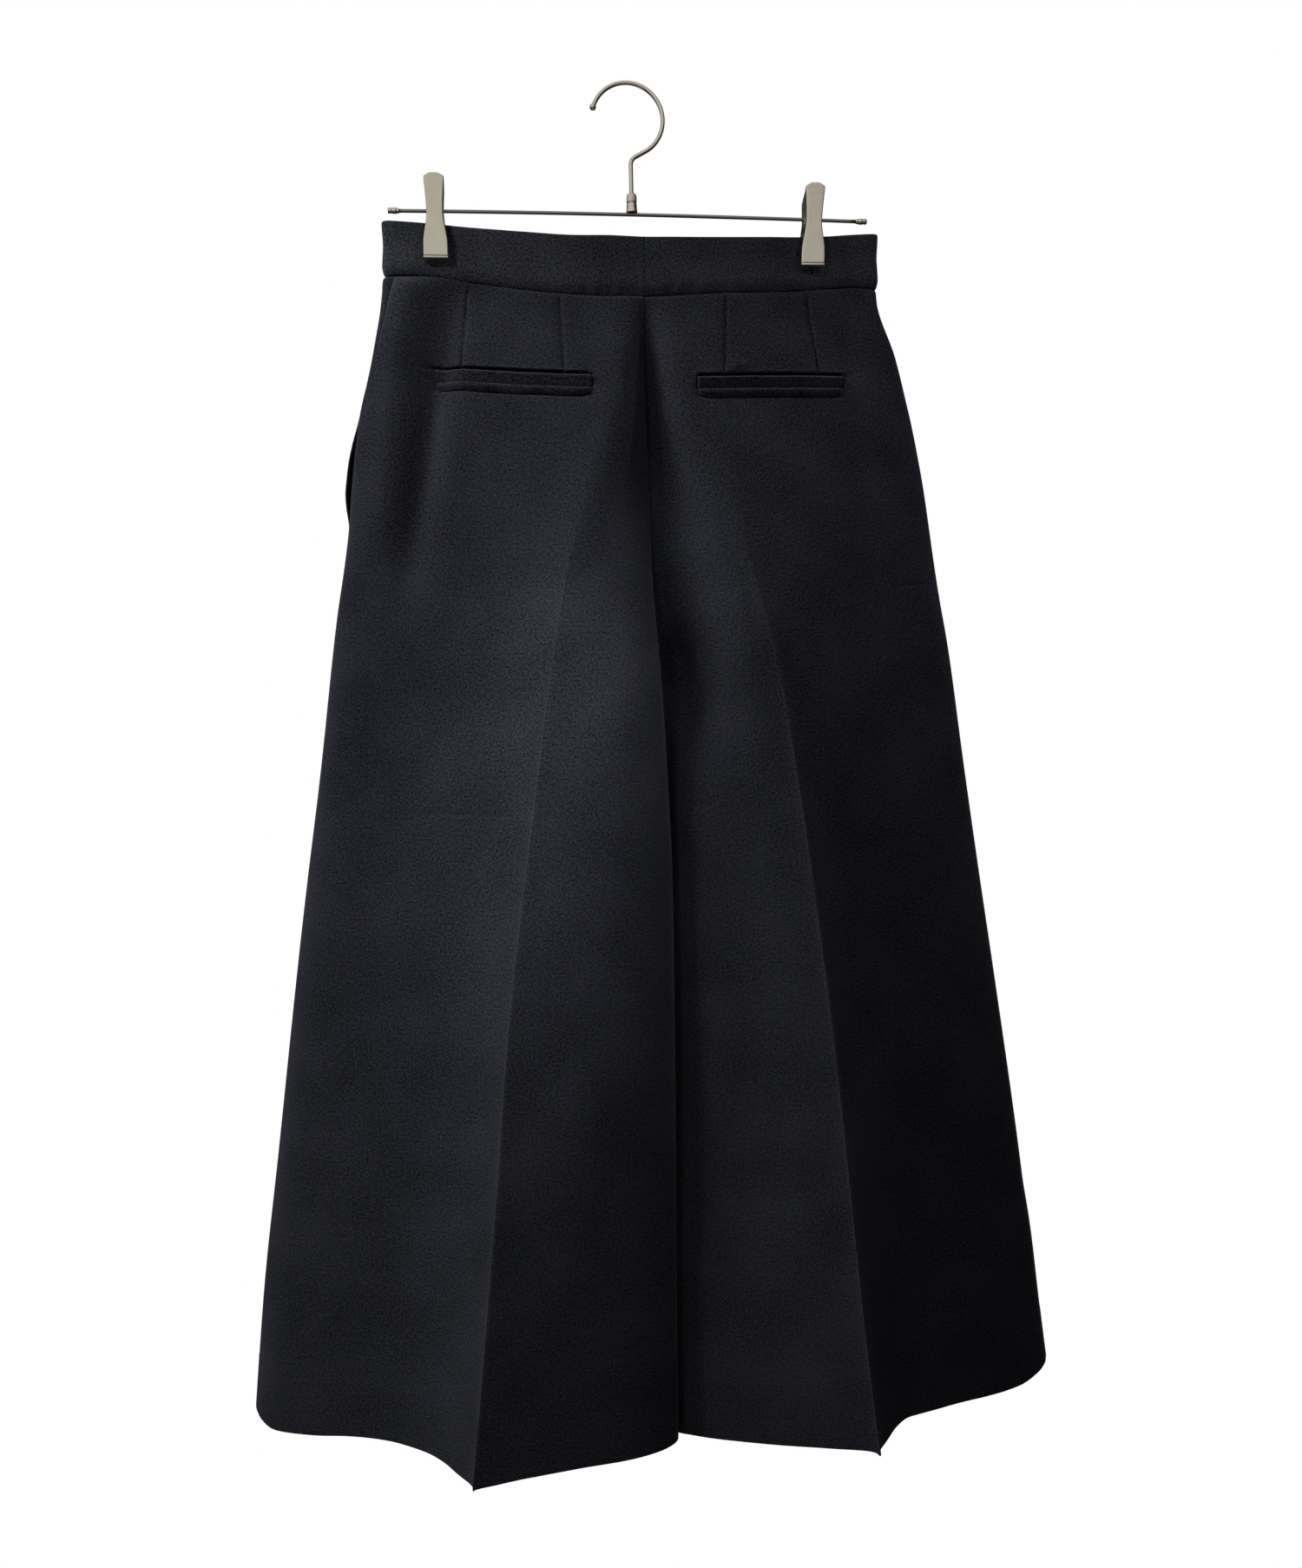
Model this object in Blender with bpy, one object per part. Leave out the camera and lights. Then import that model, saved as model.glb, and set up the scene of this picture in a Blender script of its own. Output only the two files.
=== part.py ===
"""Flared culottes hanging by the waistband from a steel clip hanger.

Lengths are in millimetres until a mesh is made. The origin is the point inside the top of the
hook that rests on a rail. +Z is up, -Y is the garment's back and +X is the right of that view.
A "drop" is a distance below the origin.

Each half of the garment is a ring of cloth that is read across by a number w:
    w =  0 side seam,  1 back crease,  2 centre back seam or inseam
    w = -1 front crease, -2 centre front seam or inseam
"""
import bmesh
import bpy
import numpy as np

MM = 0.001

# ---------------------------------------------------------------- driving dimensions, cloth

CLOTH_WALL = 1.8            # double-faced wool twill
BAND_WALL = 3.0             # waistband, folded and interlined
BAND_PROUD = 0.8            # waistband over the panels
SEAM_GAP = 0.3              # between pieces that are sewn together
BAND_SEAM_GAP = 0.6         # between the band and the panels below it
LEG_GAP = 1.6               # between the two legs along their inseams
LEG_GAP_DROPS = (387.0, 442.0)      # between these drops the seam's gap opens to the legs'
HEM_DROP = 953.0
HEM_SIDE_LIFT = 9.0         # the hem rises towards the side seam
CROTCH_DROP = 402.0

# The garment by height. side, crease and centre are across (X), crease_out and centre_in are
# how far the back crease and the centre seam stand from the middle of the garment's depth.
# mid_y is that middle at the inseams, and soft is the rounding of the crease to each side.
LEVEL_COLUMNS = ("drop", "side_l", "crease_l", "centre", "crease_r", "side_r",
                 "crease_out", "centre_in", "mid_y", "soft")
LEVELS = (
    (95, -172.8, -8, 8.0, 24, 177.4, 8.0, 8.0, 0, 22),
    (145, -175.4, -9, 7.0, 24, 176.0, 9.0, 8.6, 0, 20),
    (190, -183.4, -13, 6.2, 27, 188.8, 20.0, 12.5, 0, 18),
    (235, -194.4, -22, 6.2, 34, 200.4, 31.0, 16.5, 0, 15),
    (280, -200.6, -39, 6.8, 54, 208.8, 40.0, 19.5, 0, 13),
    (310, -203.8, -46, 7.0, 64, 213.2, 44.5, 20.5, 0, 11),
    (340, -208.6, -54, 7.4, 72, 217.4, 48.5, 19.0, 0, 8),
    (365, -213.2, -59, 8.8, 78, 221.2, 51.5, 14.5, 0, 6),
    (388, -216.8, -63, 10.6, 83, 225.2, 54.0, 7.0, -1, 4),
    (402, -218.8, -65, 12.2, 86, 227.4, 55.5, 0.6, -2, 3),
    (480, -229.6, -77, 15.8, 97.5, 237.6, 61.0, 0, -6, 1.6),
    (560, -242.0, -89, 17.6, 107, 248.8, 65.5, 0, -10, 1.2),
    (650, -255.4, -101.5, 16.6, 116.5, 262.2, 70.0, 0, -15, 1.0),
    (750, -269.2, -111.5, 15.0, 125, 276.4, 75.0, 0, -20, 1.0),
    (850, -283.2, -122, 13.2, 133, 289.2, 78.5, 0, -25, 1.0),
    (953, -294.0, -133.4, 11.6, 142.8, 302.6, 82.0, 0, -30, 1.0),
)
SIDE_BACKSET = {"l": 28.0, "r": 17.0}       # how far the side seam lies to the front at the hem
BACKSET_START = 141.0                       # drop where it starts to go that way
CREASE_REACH_LIMIT = 0.45                   # a crease's rounding takes at most this share of w

# Shape between two named places, as shares of the way across and of the way out (or in).
PROFILE_COLUMNS = ("u", "across", "out")
WAIST_OUTER = ((0, 0, 0), (0.025, 0.006, 0.36), (0.07, 0.035, 0.50), (0.15, 0.12, 0.44),
               (0.27, 0.24, 0.32), (0.37, 0.35, 0.36), (0.52, 0.52, 0.66), (0.74, 0.74, 0.9),
               (1, 1, 1))
HIP_OUTER = ((0, 0, 0), (0.05, 0.008, 0.12), (0.12, 0.05, 0.26), (0.22, 0.15, 0.38),
             (0.4, 0.36, 0.55), (0.7, 0.68, 0.79), (1, 1, 1))
HEM_OUTER = ((0, 0, 0), (0.08, 0.03, 0.17), (0.17, 0.11, 0.31), (0.3, 0.26, 0.39),
             (0.55, 0.56, 0.475), (0.72, 0.76, 0.59), (0.86, 0.9, 0.755), (1, 1, 1))
SEAT_INNER = ((0, 0, 0), (0.5, 0.5, 0.5), (1, 1, 1))
LEG_INNER = ((0, 0, 0), (0.3, 0.32, 0.18), (0.55, 0.6, 0.34), (0.72, 0.79, 0.46),
             (0.84, 0.92, 0.62), (0.93, 0.985, 0.82), (1, 1, 1))
VALLEY_INNER = ((0, 0, 0), (0.3, 0.27, 0.2), (0.55, 0.52, 0.37), (0.7, 0.66, 0.5),
                (0.82, 0.78, 0.66), (0.93, 0.93, 0.86), (1, 1, 1))
VALLEY_DROPS = (300.0, 400.0, 520.0)        # starts, is fullest, ends
VALLEY_SHARE = {"l": 0.15, "r": 1.0}        # the right leg turns away wider at the crotch

WAIST_TO_HIP = (150.0, 225.0)       # drops between which one profile becomes the next
HIP_TO_HEM = (330.0, 860.0)
SEAT_TO_LEG = (265.0, 400.0)

# Drop of the waistband's top edge and of the seam below it, across the garment.
EDGE_COLUMNS = ("x", "top", "seam")
BAND_EDGES = (
    (-176, 101.6, 138.6), (-143, 102.6, 137.6), (-117, 103.6, 142.2), (-78, 104.8, 147.0),
    (-40, 106.0, 149.4), (8, 109.0, 149.8), (60, 107.0, 146.8), (98, 105.6, 145.2),
    (137, 104.0, 142.4), (157, 103.2, 140.9), (178, 102.6, 142.2),
)
FRONT_BAND_DIP = 3.0        # the band's top edge is lower at the centre front
BAND_PLAN_DROP = 125.0      # the level whose ring gives the band's width
BAND_SHAPE_DROP = 118.0     # the level whose ring the band keeps to
BAND_FOLLOWS = 0.35         # how much the band still changes with its own drop
BAND_INNER_COLUMNS = 6

# Where the side seam lies on the ring, as w: it starts on the back at the top left.
SEAM_COLUMNS = ("drop", "left", "right")
SIDE_SEAM = ((138, 0.10, -0.02), (160, 0.062, -0.02), (200, 0.045, -0.02), (240, 0.0, -0.02),
             (953, 0.0, 0.0))

# The side pocket in the left seam gapes: its front edge stands out sideways.
GAPE_COLUMNS = ("drop", "out")
POCKET_GAPE = ((225, 0), (236, 0.9), (250, 3.0), (266, 4.5), (282, 4.8), (295, 3.2),
               (306, 0.7), (314, 0))
GAPE_REACH = 0.22           # how far forward the gape is felt, in w
SEAM_GAP_SPAN = 160.0       # length of the cloth from the side seam to the crease, for its gap
SEAM_NUDGE_REACH = 0.12     # share of a panel's outer part that makes room for the side seam
FACING_DROPS = (226.0, 312.0)
FACING_REACH = (-0.10, 0.14)
FACING_WALL = 1.2
FACING_CLEAR = 0.9

# Levels of the panels' rows, closer together where the crotch curves.
ROW_DROPS = (145, 165, 188, 212, 236, 260, 284, 308, 330, 350, 368, 384, 396, CROTCH_DROP,
             416, 440, 480, 535, 600, 675, 760, 855, HEM_DROP)
OUTER_COLUMNS = 12
INNER_COLUMNS = 10
SEAM_STEP = 0.01            # step in w for the direction of the cloth at the side seam
INSEAM_TURN = (386.0, 403.0)
OFFSET_LIMIT = 0.6          # an offset at a crease is at most 1 / this of the wall
BAND_ROWS = (0.0, 0.06, 0.5, 0.92, 1.0)
BAND_EDGE_ROUND = 0.7       # the band's edges are rolled in by this much

# Double welt pockets on the back: the top edge of the upper welt from end to end.
WELT_COLUMNS = ("half", "x_a", "drop_a", "x_b", "drop_b")
WELTS = (("l", -142.0, 201.8, -32.5, 206.8), ("r", 40.5, 206.2, 148.6, 204.8))
UPPER_WELT_HEIGHT = 8.9
LOWER_WELT_HEIGHT = 5.6
WELT_MOUTH = 0.5            # between the two welts
WELT_INSET = 2.6            # the lower welt is this much shorter at each end
WELT_CLEAR = 0.4
UPPER_WELT_THICK = 1.7
LOWER_WELT_THICK = 2.3
WELT_SEGMENTS = 12
WELT_ROUND = ((0.0, 0.45), (0.14, 0.92), (0.5, 1.0), (0.86, 0.92), (1.0, 0.45))

# ---------------------------------------------------------------- driving dimensions, hanger

WIRE_RADIUS = 1.5
HOOK_RADIUS = 25.2          # centre line
HOOK_CENTRE_X = -1.8
HOOK_TIP_ANGLE = 164.0
HOOK_END_ANGLE = -58.0
HOOK_BALL_RADIUS = 2.3
STEM_BEND_DROP = 51.5
STEM_BEND_ROUND = 4.0
STEM_MIDDLE_DROP = 68.0
STEM_END_DROP = 86.0

BAR_DROP = 90.2             # centre of the bar at its middle
BAR_END_SAG = 1.1
BAR_SLOPE = 0.0055          # the bar hangs a little lower on the right
BAR_HALF = 162.0
BAR_RADIUS = 1.25
KNOB_LENGTH = 8.0
AXIS_RADIUS = 0.25          # turned bodies are closed by a hair-fine hole on their axis
KNOB_PROFILE = ((0.0, 1.9), (0.35, 2.35), (2.0, 2.35), (2.35, 1.9), (2.6, 1.5), (5.0, 1.5),
                (5.3, 2.0), (5.7, 2.45), (7.5, 2.45), (8.0, 1.9))      # along, radius

COLLAR_DROPS = (75.4, 88.6)
COLLAR_BORE = 1.8
COLLAR_BORE_DEPTH = 10.9
COLLAR_PROFILE = ((0.0, 2.2), (0.5, 3.0), (1.6, 3.55), (6.2, 3.6), (6.5, 3.2), (7.1, 3.2),
                  (7.4, 3.6), (10.2, 3.6), (11.8, 3.9), (13.2, 4.0))      # down, radius

CLIP_CENTRES = {"left": -137.6, "right": 129.6}
CLIP_LEANS = {"left": 0.0, "right": -0.05}      # across for each mm down
PLATE_WALL = 1.2
JAW_COLUMNS = ("below_bar", "half_width", "y")
NEAR_JAW = (
    (-22.2, 2.6, -10.6), (-21.4, 4.8, -10.6), (-19.6, 6.7, -10.5), (-11.0, 6.3, -10.2),
    (-2.0, 5.8, -9.9), (5.0, 5.7, -9.7), (14.0, 7.0, -9.7), (24.0, 8.4, -9.8),
    (33.2, 8.5, -9.9), (34.3, 8.5, -9.5), (35.0, 8.4, -8.3), (35.2, 8.2, -5.1),
)
FAR_JAW = (
    (-17.0, 2.4, 8.4), (-16.1, 4.6, 8.3), (-14.0, 6.2, 8.0), (-7.0, 6.0, 7.0), (1.0, 5.9, 6.2),
    (13.0, 7.2, 6.4), (22.0, 8.4, 7.4), (31.0, 8.5, 8.2), (32.2, 8.5, 8.0),
    (33.0, 8.4, 7.0), (33.3, 8.2, 5.1),
)
JAW_ACROSS = (-1.0, -0.86, 0.0, 0.86, 1.0)
JAW_EDGE_BEND = 0.7         # the plate's long edges turn in
EAR_WALL = 0.8
EAR_BORE = 1.6
EAR_BORE_REACH = 9.0
# How far each pair of ears stands from the clip's middle, and its outline as y, below the bar.
EARS = {
    "near": (5.0, ((-8.9, -16.0), (3.2, -13.0), (3.4, 3.5), (-8.9, 9.0))),
    "far": (3.7, ((5.8, -9.0), (-3.4, -3.0), (-3.4, 3.0), (5.8, 8.0))),
}
SPRING_OUTER = 3.1
SPRING_INNER = 1.65
SPRING_HALF = 3.0

# ---------------------------------------------------------------- materials

CLOTH_COLOUR = (0.012, 0.012, 0.013)
FACING_COLOUR = (0.006, 0.006, 0.007)
STEEL_COLOUR = (0.55, 0.53, 0.50)
PLATE_COLOUR = (0.47, 0.43, 0.36)


# ---------------------------------------------------------------- tables

def smooth(x, xs, ys):
    """Read a table along a monotone cubic: no overshoot between its rows."""
    x, xs, ys = (np.asarray(a, float) for a in (x, xs, ys))
    step = np.diff(xs)
    slope = np.diff(ys) / step
    before, after = slope[:-1], slope[1:]
    w_before = 2 * step[1:] + step[:-1]
    w_after = step[1:] + 2 * step[:-1]
    same = before * after > 0
    safe_before = np.where(same, before, 1.0)
    safe_after = np.where(same, after, 1.0)
    mean = (w_before + w_after) / (w_before / safe_before + w_after / safe_after)
    tangent = np.concatenate([slope[:1], np.where(same, mean, 0.0), slope[-1:]])
    x = np.clip(x, xs[0], xs[-1])
    k = np.clip(np.searchsorted(xs, x) - 1, 0, len(step) - 1)
    h = step[k]
    s = (x - xs[k]) / h
    return (ys[k] * (1 + 2 * s) * (1 - s) ** 2 + tangent[k] * h * s * (1 - s) ** 2
            + ys[k + 1] * s * s * (3 - 2 * s) + tangent[k + 1] * h * s * s * (s - 1))


def column(rows, names, key, at, value):
    """Read column `value` of a table where column `key` is `at`."""
    table = np.array(rows, float)
    return smooth(at, table[:, names.index(key)], table[:, names.index(value)])


def level(name, drop):
    return column(LEVELS, LEVEL_COLUMNS, "drop", drop, name)


def ease(x, start_end):
    """0 before the first number, 1 after the second, smooth between."""
    start, end = start_end
    s = np.clip((x - start) / (end - start), 0, 1)
    return s * s * (3 - 2 * s)


def profile(rows, u):
    """Across and out shares at u. The rows are repeated in reflection past both ends, so that
    the cloth turns round the side seam and the inseam without a corner."""
    table = dict(zip(PROFILE_COLUMNS, np.array(rows, float).T))
    across, out = table["across"], table["out"]
    us = np.concatenate([-table["u"][:0:-1], table["u"], 2 - table["u"][-2::-1]])
    across = np.concatenate([across[:0:-1], across, across[-2::-1]])
    out = np.concatenate([-out[:0:-1], out, 2 - out[-2::-1]])
    return smooth(u, us, across), smooth(u, us, out)


# ---------------------------------------------------------------- the ring of cloth

def blend(share, a, b):
    return a[0] + (b[0] - a[0]) * share, a[1] + (b[1] - a[1]) * share


def raw_ring(half, a, drop):
    """Across and depth of the back, before its crease is rounded. a is the size of w."""
    side_x = level("side_" + half, drop)
    crease_x = level("crease_" + half, drop)
    fallen = np.clip((drop - BACKSET_START) / (HEM_DROP - BACKSET_START), 0, 1)
    side_y = SIDE_BACKSET[half] * fallen
    crease_y = -level("crease_out", drop)
    towards_side = -1.0 if half == "l" else 1.0
    gap = SEAM_GAP + (LEG_GAP - SEAM_GAP) * ease(drop, LEG_GAP_DROPS)
    centre_x = level("centre", drop) + towards_side * gap / 2
    centre_y = level("mid_y", drop) - np.maximum(level("centre_in", drop), SEAM_GAP / 2)

    u = np.clip(a, 0, 1)
    waist_hip = blend(ease(drop, WAIST_TO_HIP), profile(WAIST_OUTER, u), profile(HIP_OUTER, u))
    across, out = blend(ease(drop, HIP_TO_HEM), waist_hip, profile(HEM_OUTER, u))
    outer = (side_x + (crease_x - side_x) * across, side_y + (crease_y - side_y) * out)

    u = np.clip(a - 1, 0, 1)
    start, full, end = VALLEY_DROPS
    valley = VALLEY_SHARE[half] * ease(drop, (start, full)) * (1 - ease(drop, (full, end)))
    leg = blend(valley, profile(LEG_INNER, u), profile(VALLEY_INNER, u))
    across, out = blend(ease(drop, SEAT_TO_LEG), profile(SEAT_INNER, u), leg)
    inner = (crease_x + (centre_x - crease_x) * across, crease_y + (centre_y - crease_y) * out)
    x = np.where(a <= 1, outer[0], inner[0])
    y = np.where(a <= 1, outer[1], inner[1])
    return x, y, side_x, side_y, centre_x


def ring(half, w, drop):
    """Across and depth of the cloth's outer face at w and drop."""
    w, drop = np.broadcast_arrays(np.asarray(w, float), np.asarray(drop, float))
    a = np.abs(w)
    width_out = np.abs(level("crease_" + half, drop) - level("side_" + half, drop))
    width_in = np.abs(level("centre", drop) - level("crease_" + half, drop))
    soft = level("soft", drop)
    reach_out = np.minimum(soft / width_out, CREASE_REACH_LIMIT)
    reach_in = np.minimum(soft / width_in, CREASE_REACH_LIMIT)
    x, y, side_x, side_y, centre_x = raw_ring(half, a, drop)
    # The crease is rounded by a parabola between the points at each end of its reach.
    s = 0.5 + 0.5 * np.where(a < 1, (a - 1) / reach_out, (a - 1) / reach_in)
    start = raw_ring(half, 1 - reach_out, drop)
    end = raw_ring(half, 1 + reach_in, drop)
    corner = raw_ring(half, np.ones_like(a), drop)
    near = (s > 0) & (s < 1)
    s = np.clip(s, 0, 1)
    for axis, value in enumerate((x, y)):
        arc = ((1 - s) ** 2 * start[axis] + 2 * s * (1 - s) * corner[axis] + s * s * end[axis])
        value[near] = arc[near]
    # The front is the back mirrored in the plane through the side seam and the inseam.
    middle = side_y + (level("mid_y", drop) - side_y) * (x - side_x) / (centre_x - side_x)
    y = np.where(w < 0, 2 * middle - y, y)
    return x, y


def gape(w, drop):
    """How far the front edge of the left side pocket stands out."""
    out = column(POCKET_GAPE, GAPE_COLUMNS, "drop", drop, "out")
    return out * (1 - ease(-w, (0.0, GAPE_REACH)))


def band_edge(name, x, w):
    drop = column(BAND_EDGES, EDGE_COLUMNS, "x", x, name)
    if name == "top":
        drop = drop + FRONT_BAND_DIP * ease(-w, (0.2, 2.0))
    return drop


def hem_drop(w):
    return HEM_DROP - HEM_SIDE_LIFT * (1 - np.clip(np.abs(w), 0, 1)) ** 1.3


def side_seam(half, drop):
    name = "left" if half == "l" else "right"
    return column(SIDE_SEAM, SEAM_COLUMNS, "drop", drop, name)


def spread(count):
    """0 to 1 in `count` steps, closer together at both ends."""
    return 0.5 - 0.5 * np.cos(np.pi * np.arange(count + 1) / count)


def panel_points(half, face):
    """The outer face of a panel as a grid of points, rows going down."""
    base = np.concatenate([spread(OUTER_COLUMNS), 1 + spread(INNER_COLUMNS)[1:]])
    nominal = np.array(ROW_DROPS, float)[:, None]
    seam = side_seam(half, nominal)
    gap_w = SEAM_GAP / 2 / SEAM_GAP_SPAN
    if face == "back":
        start = seam + gap_w
        w = np.where(base <= 1, start + (1 - start) * base, base)
    else:
        start = seam - gap_w
        w = np.where(base <= 1, start - (1 + start) * base, -base)
    x, _ = ring(half, w, nominal)
    top = band_edge("seam", x[:1], w[:1]) + BAND_SEAM_GAP
    share = (nominal - nominal[0]) / (nominal[-1] - nominal[0])
    drop = top + (hem_drop(w) - top) * share
    x, y = ring(half, w, drop)
    if half == "l" and face == "front":
        x = x - gape(w, drop)
    # The front and back panels keep a seam's gap where they meet at the side.
    nudge = SEAM_GAP / 2 * (1 - ease(base, (0.0, SEAM_NUDGE_REACH)))
    y = y + (nudge if face == "front" else -nudge)
    return np.stack([x, y, -drop], axis=-1)


# ---------------------------------------------------------------- closed walls from grids

def unit(v):
    return v / np.linalg.norm(v, axis=-1, keepdims=True)


def grid_normals(points):
    """Normals for an offset at each point, longer where the cloth bends sharply, so that the
    wall keeps its thickness on both sides of a crease."""
    along = np.gradient(points, axis=0)
    across = np.diff(points, axis=1)
    middle = (along[:, 1:] + along[:, :-1]) / 2
    faces = unit(np.cross(across, middle))
    left = np.concatenate([faces[:, :1], faces], axis=1)
    right = np.concatenate([faces, faces[:, -1:]], axis=1)
    mean = unit(left + right)
    return mean / np.maximum((mean * left).sum(-1, keepdims=True), OFFSET_LIMIT)


def outward(points, towards):
    """Grid normals on the side that `towards` points to at the grid's middle."""
    normals = grid_normals(points)
    r, c = points.shape[0] // 2, points.shape[1] // 2
    return normals if (normals[r, c] * np.asarray(towards)).sum() > 0 else -normals


def wall(name, outer, inner, colour):
    """A closed body between two grids of points, in millimetres."""
    rows, cols = outer.shape[:2]
    index = np.arange(rows * cols).reshape(rows, cols)
    a, b = index[:-1, :-1].ravel(), index[:-1, 1:].ravel()
    c, d = index[1:, 1:].ravel(), index[1:, :-1].ravel()
    front = np.stack([a, b, c, d], axis=1)
    back = np.stack([a, d, c, b], axis=1) + rows * cols
    rim = np.concatenate([index[0, :], index[1:, -1], index[-1, -2::-1], index[-2:0:-1, 0]])
    after = np.roll(rim, -1)
    edge = np.stack([after, rim, rim + rows * cols, after + rows * cols], axis=1)
    vertices = np.concatenate([outer.reshape(-1, 3), inner.reshape(-1, 3)]) * MM
    return solid(name, vertices, np.concatenate([front, back, edge]).tolist(), colour)


def solid(name, vertices, faces, colour):
    mesh = bpy.data.meshes.new(name)
    mesh.from_pydata([tuple(v) for v in vertices], [], faces)
    bm = bmesh.new()
    bm.from_mesh(mesh)
    bmesh.ops.recalc_face_normals(bm, faces=bm.faces)
    bm.to_mesh(mesh)
    bm.free()
    mesh.shade_smooth()
    mesh.set_sharp_from_angle(angle=np.radians(40))
    thing = bpy.data.objects.new(name, mesh)
    bpy.context.collection.objects.link(thing)
    mesh.materials.append(colour)
    return thing


def material(name, colour, roughness, metallic):
    made = bpy.data.materials.new(name)
    made.use_nodes = True
    shader = made.node_tree.nodes["Principled BSDF"]
    shader.inputs["Base Color"].default_value = (*colour, 1)
    shader.inputs["Roughness"].default_value = roughness
    shader.inputs["Metallic"].default_value = metallic
    made.diffuse_color = (*colour, 1)
    return made


# ---------------------------------------------------------------- the garment's pieces

def seam_normals(half, drop):
    """Outward normals on the ring at the side seam, the same for both panels that meet there."""
    w = side_seam(half, drop)
    ahead = np.stack(ring(half, w + SEAM_STEP, drop), axis=-1)
    behind = np.stack(ring(half, w - SEAM_STEP, drop), axis=-1)
    along = unit(ahead - behind)
    normal = np.stack([along[..., 1], -along[..., 0], 0 * drop], axis=-1)
    return normal if half == "l" else -normal


def build_panels(cloth):
    for half, side in (("l", "left"), ("r", "right")):
        for face, towards in (("back", (0, -1, 0)), ("front", (0, 1, 0))):
            points = panel_points(half, face)
            normals = outward(points, towards)
            normals[:, 0] = seam_normals(half, -points[:, 0, 2])
            # Along the inseam the wall goes straight in from the gap between the legs.
            share = ease(-points[:, -1, 2], INSEAM_TURN)[:, None]
            inseam = np.array((1.0 if half == "l" else -1.0, 0.0, 0.0))
            normals[:, -1] = unit(normals[:, -1] * (1 - share) + inseam * share)
            wall(f"{face}_panel_{side}", points, points - normals * CLOTH_WALL, cloth)


def build_waistband(cloth):
    """Each half of the band runs from the centre back round the side to the centre front."""
    outer_w = np.concatenate([1 + spread(BAND_INNER_COLUMNS)[:0:-1],
                              spread(OUTER_COLUMNS)[::-1]])
    w = np.concatenate([outer_w, -outer_w[-2::-1]])[None, :]
    share = np.array(BAND_ROWS)[:, None]
    roll = BAND_EDGE_ROUND * np.where((share == 0) | (share == 1), 1.0, 0.0)[..., None]
    for half, side in (("l", "left"), ("r", "right")):
        x, _ = ring(half, w, BAND_PLAN_DROP)
        top = band_edge("top", x, w)
        seam = band_edge("seam", x, w)
        drop = top + (seam - top) * share
        # The cloth hangs straight in the band: it keeps near to the ring's shape at one level.
        level_drop = BAND_SHAPE_DROP + BAND_FOLLOWS * (drop - BAND_SHAPE_DROP)
        x, y = ring(half, np.broadcast_to(w, drop.shape), level_drop)
        points = np.stack([x, y, -drop], axis=-1)
        normals = outward(points, (-1 if half == "l" else 1, 0, 0))
        outer = points + normals * (BAND_PROUD - roll)
        inner = points - normals * (BAND_WALL - BAND_PROUD - roll)
        wall(f"waistband_{side}", outer, inner, cloth)


def w_at(half, x, drop):
    """The w on the back at which the ring reaches x, by halving."""
    low, high = np.zeros_like(x), np.full_like(x, 2.0)
    for _ in range(30):
        mid = (low + high) / 2
        before = np.abs(ring(half, mid, drop)[0]) > np.abs(x)
        low, high = np.where(before, mid, low), np.where(before, high, mid)
    return (low + high) / 2


def build_welts(cloth):
    for row in WELTS:
        edge = dict(zip(WELT_COLUMNS, row))
        half, name = edge["half"], "left" if edge["half"] == "l" else "right"
        length, fall = edge["x_b"] - edge["x_a"], edge["drop_b"] - edge["drop_a"]
        mouth = UPPER_WELT_HEIGHT + WELT_MOUTH
        pieces = (("upper", 0.0, UPPER_WELT_HEIGHT, 0.0, UPPER_WELT_THICK),
                  ("lower", mouth, LOWER_WELT_HEIGHT, WELT_INSET, LOWER_WELT_THICK))
        for kind, below, height, inset, thick in pieces:
            s = np.linspace(0, 1, WELT_SEGMENTS + 1)[None, :]
            t, rise = np.array(WELT_ROUND)[:, 0, None], np.array(WELT_ROUND)[:, 1, None]
            x = edge["x_a"] + inset + (length - 2 * inset) * s + 0 * t
            drop = edge["drop_a"] + fall * s + below + height * t
            points = np.stack([x, ring(half, w_at(half, x, drop), drop)[1], -drop], axis=-1)
            normals = outward(points, (0, -1, 0))
            under = points + normals * WELT_CLEAR
            over = points + normals * (WELT_CLEAR + thick * rise[..., None])
            wall(f"welt_{kind}_{name}", over, under, cloth)


def build_pocket_facing(dark):
    """The facing inside the gape, just within the panels."""
    drop = np.linspace(*FACING_DROPS, 6)[:, None]
    w = np.linspace(*FACING_REACH, 9)[None, :]
    x, y = ring("l", w, drop)
    points = np.stack([x, y, -drop + 0 * x], axis=-1)
    inward = -outward(points, (-1, 0, 0))
    outer = points + inward * (CLOTH_WALL + FACING_CLEAR)
    wall("pocket_facing_left", outer, outer + inward * FACING_WALL, dark)


# ---------------------------------------------------------------- the hanger's pieces

def sweep(name, path, radii, colour, sides=10):
    """A round rod along a path of points, closed at both ends."""
    path = np.array(path, float)
    radii = np.broadcast_to(radii, len(path))
    tangent = unit(np.gradient(path, axis=0))
    across = unit(np.cross(tangent, (0.0, 1.0, 0.0)))
    deep = np.cross(across, tangent)
    angle = 2 * np.pi * np.arange(sides) / sides
    spoke = (np.cos(angle)[None, :, None] * across[:, None, :]
             + np.sin(angle)[None, :, None] * deep[:, None, :])
    rings = path[:, None, :] + spoke * radii[:, None, None]
    faces = []
    for r in range(len(path) - 1):
        for k in range(sides):
            after = (k + 1) % sides
            faces.append((r * sides + k, r * sides + after,
                          (r + 1) * sides + after, (r + 1) * sides + k))
    faces.append(tuple(range(sides - 1, -1, -1)))
    faces.append(tuple(range((len(path) - 1) * sides, len(path) * sides)))
    return solid(name, rings.reshape(-1, 3) * MM, faces, colour)


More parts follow.
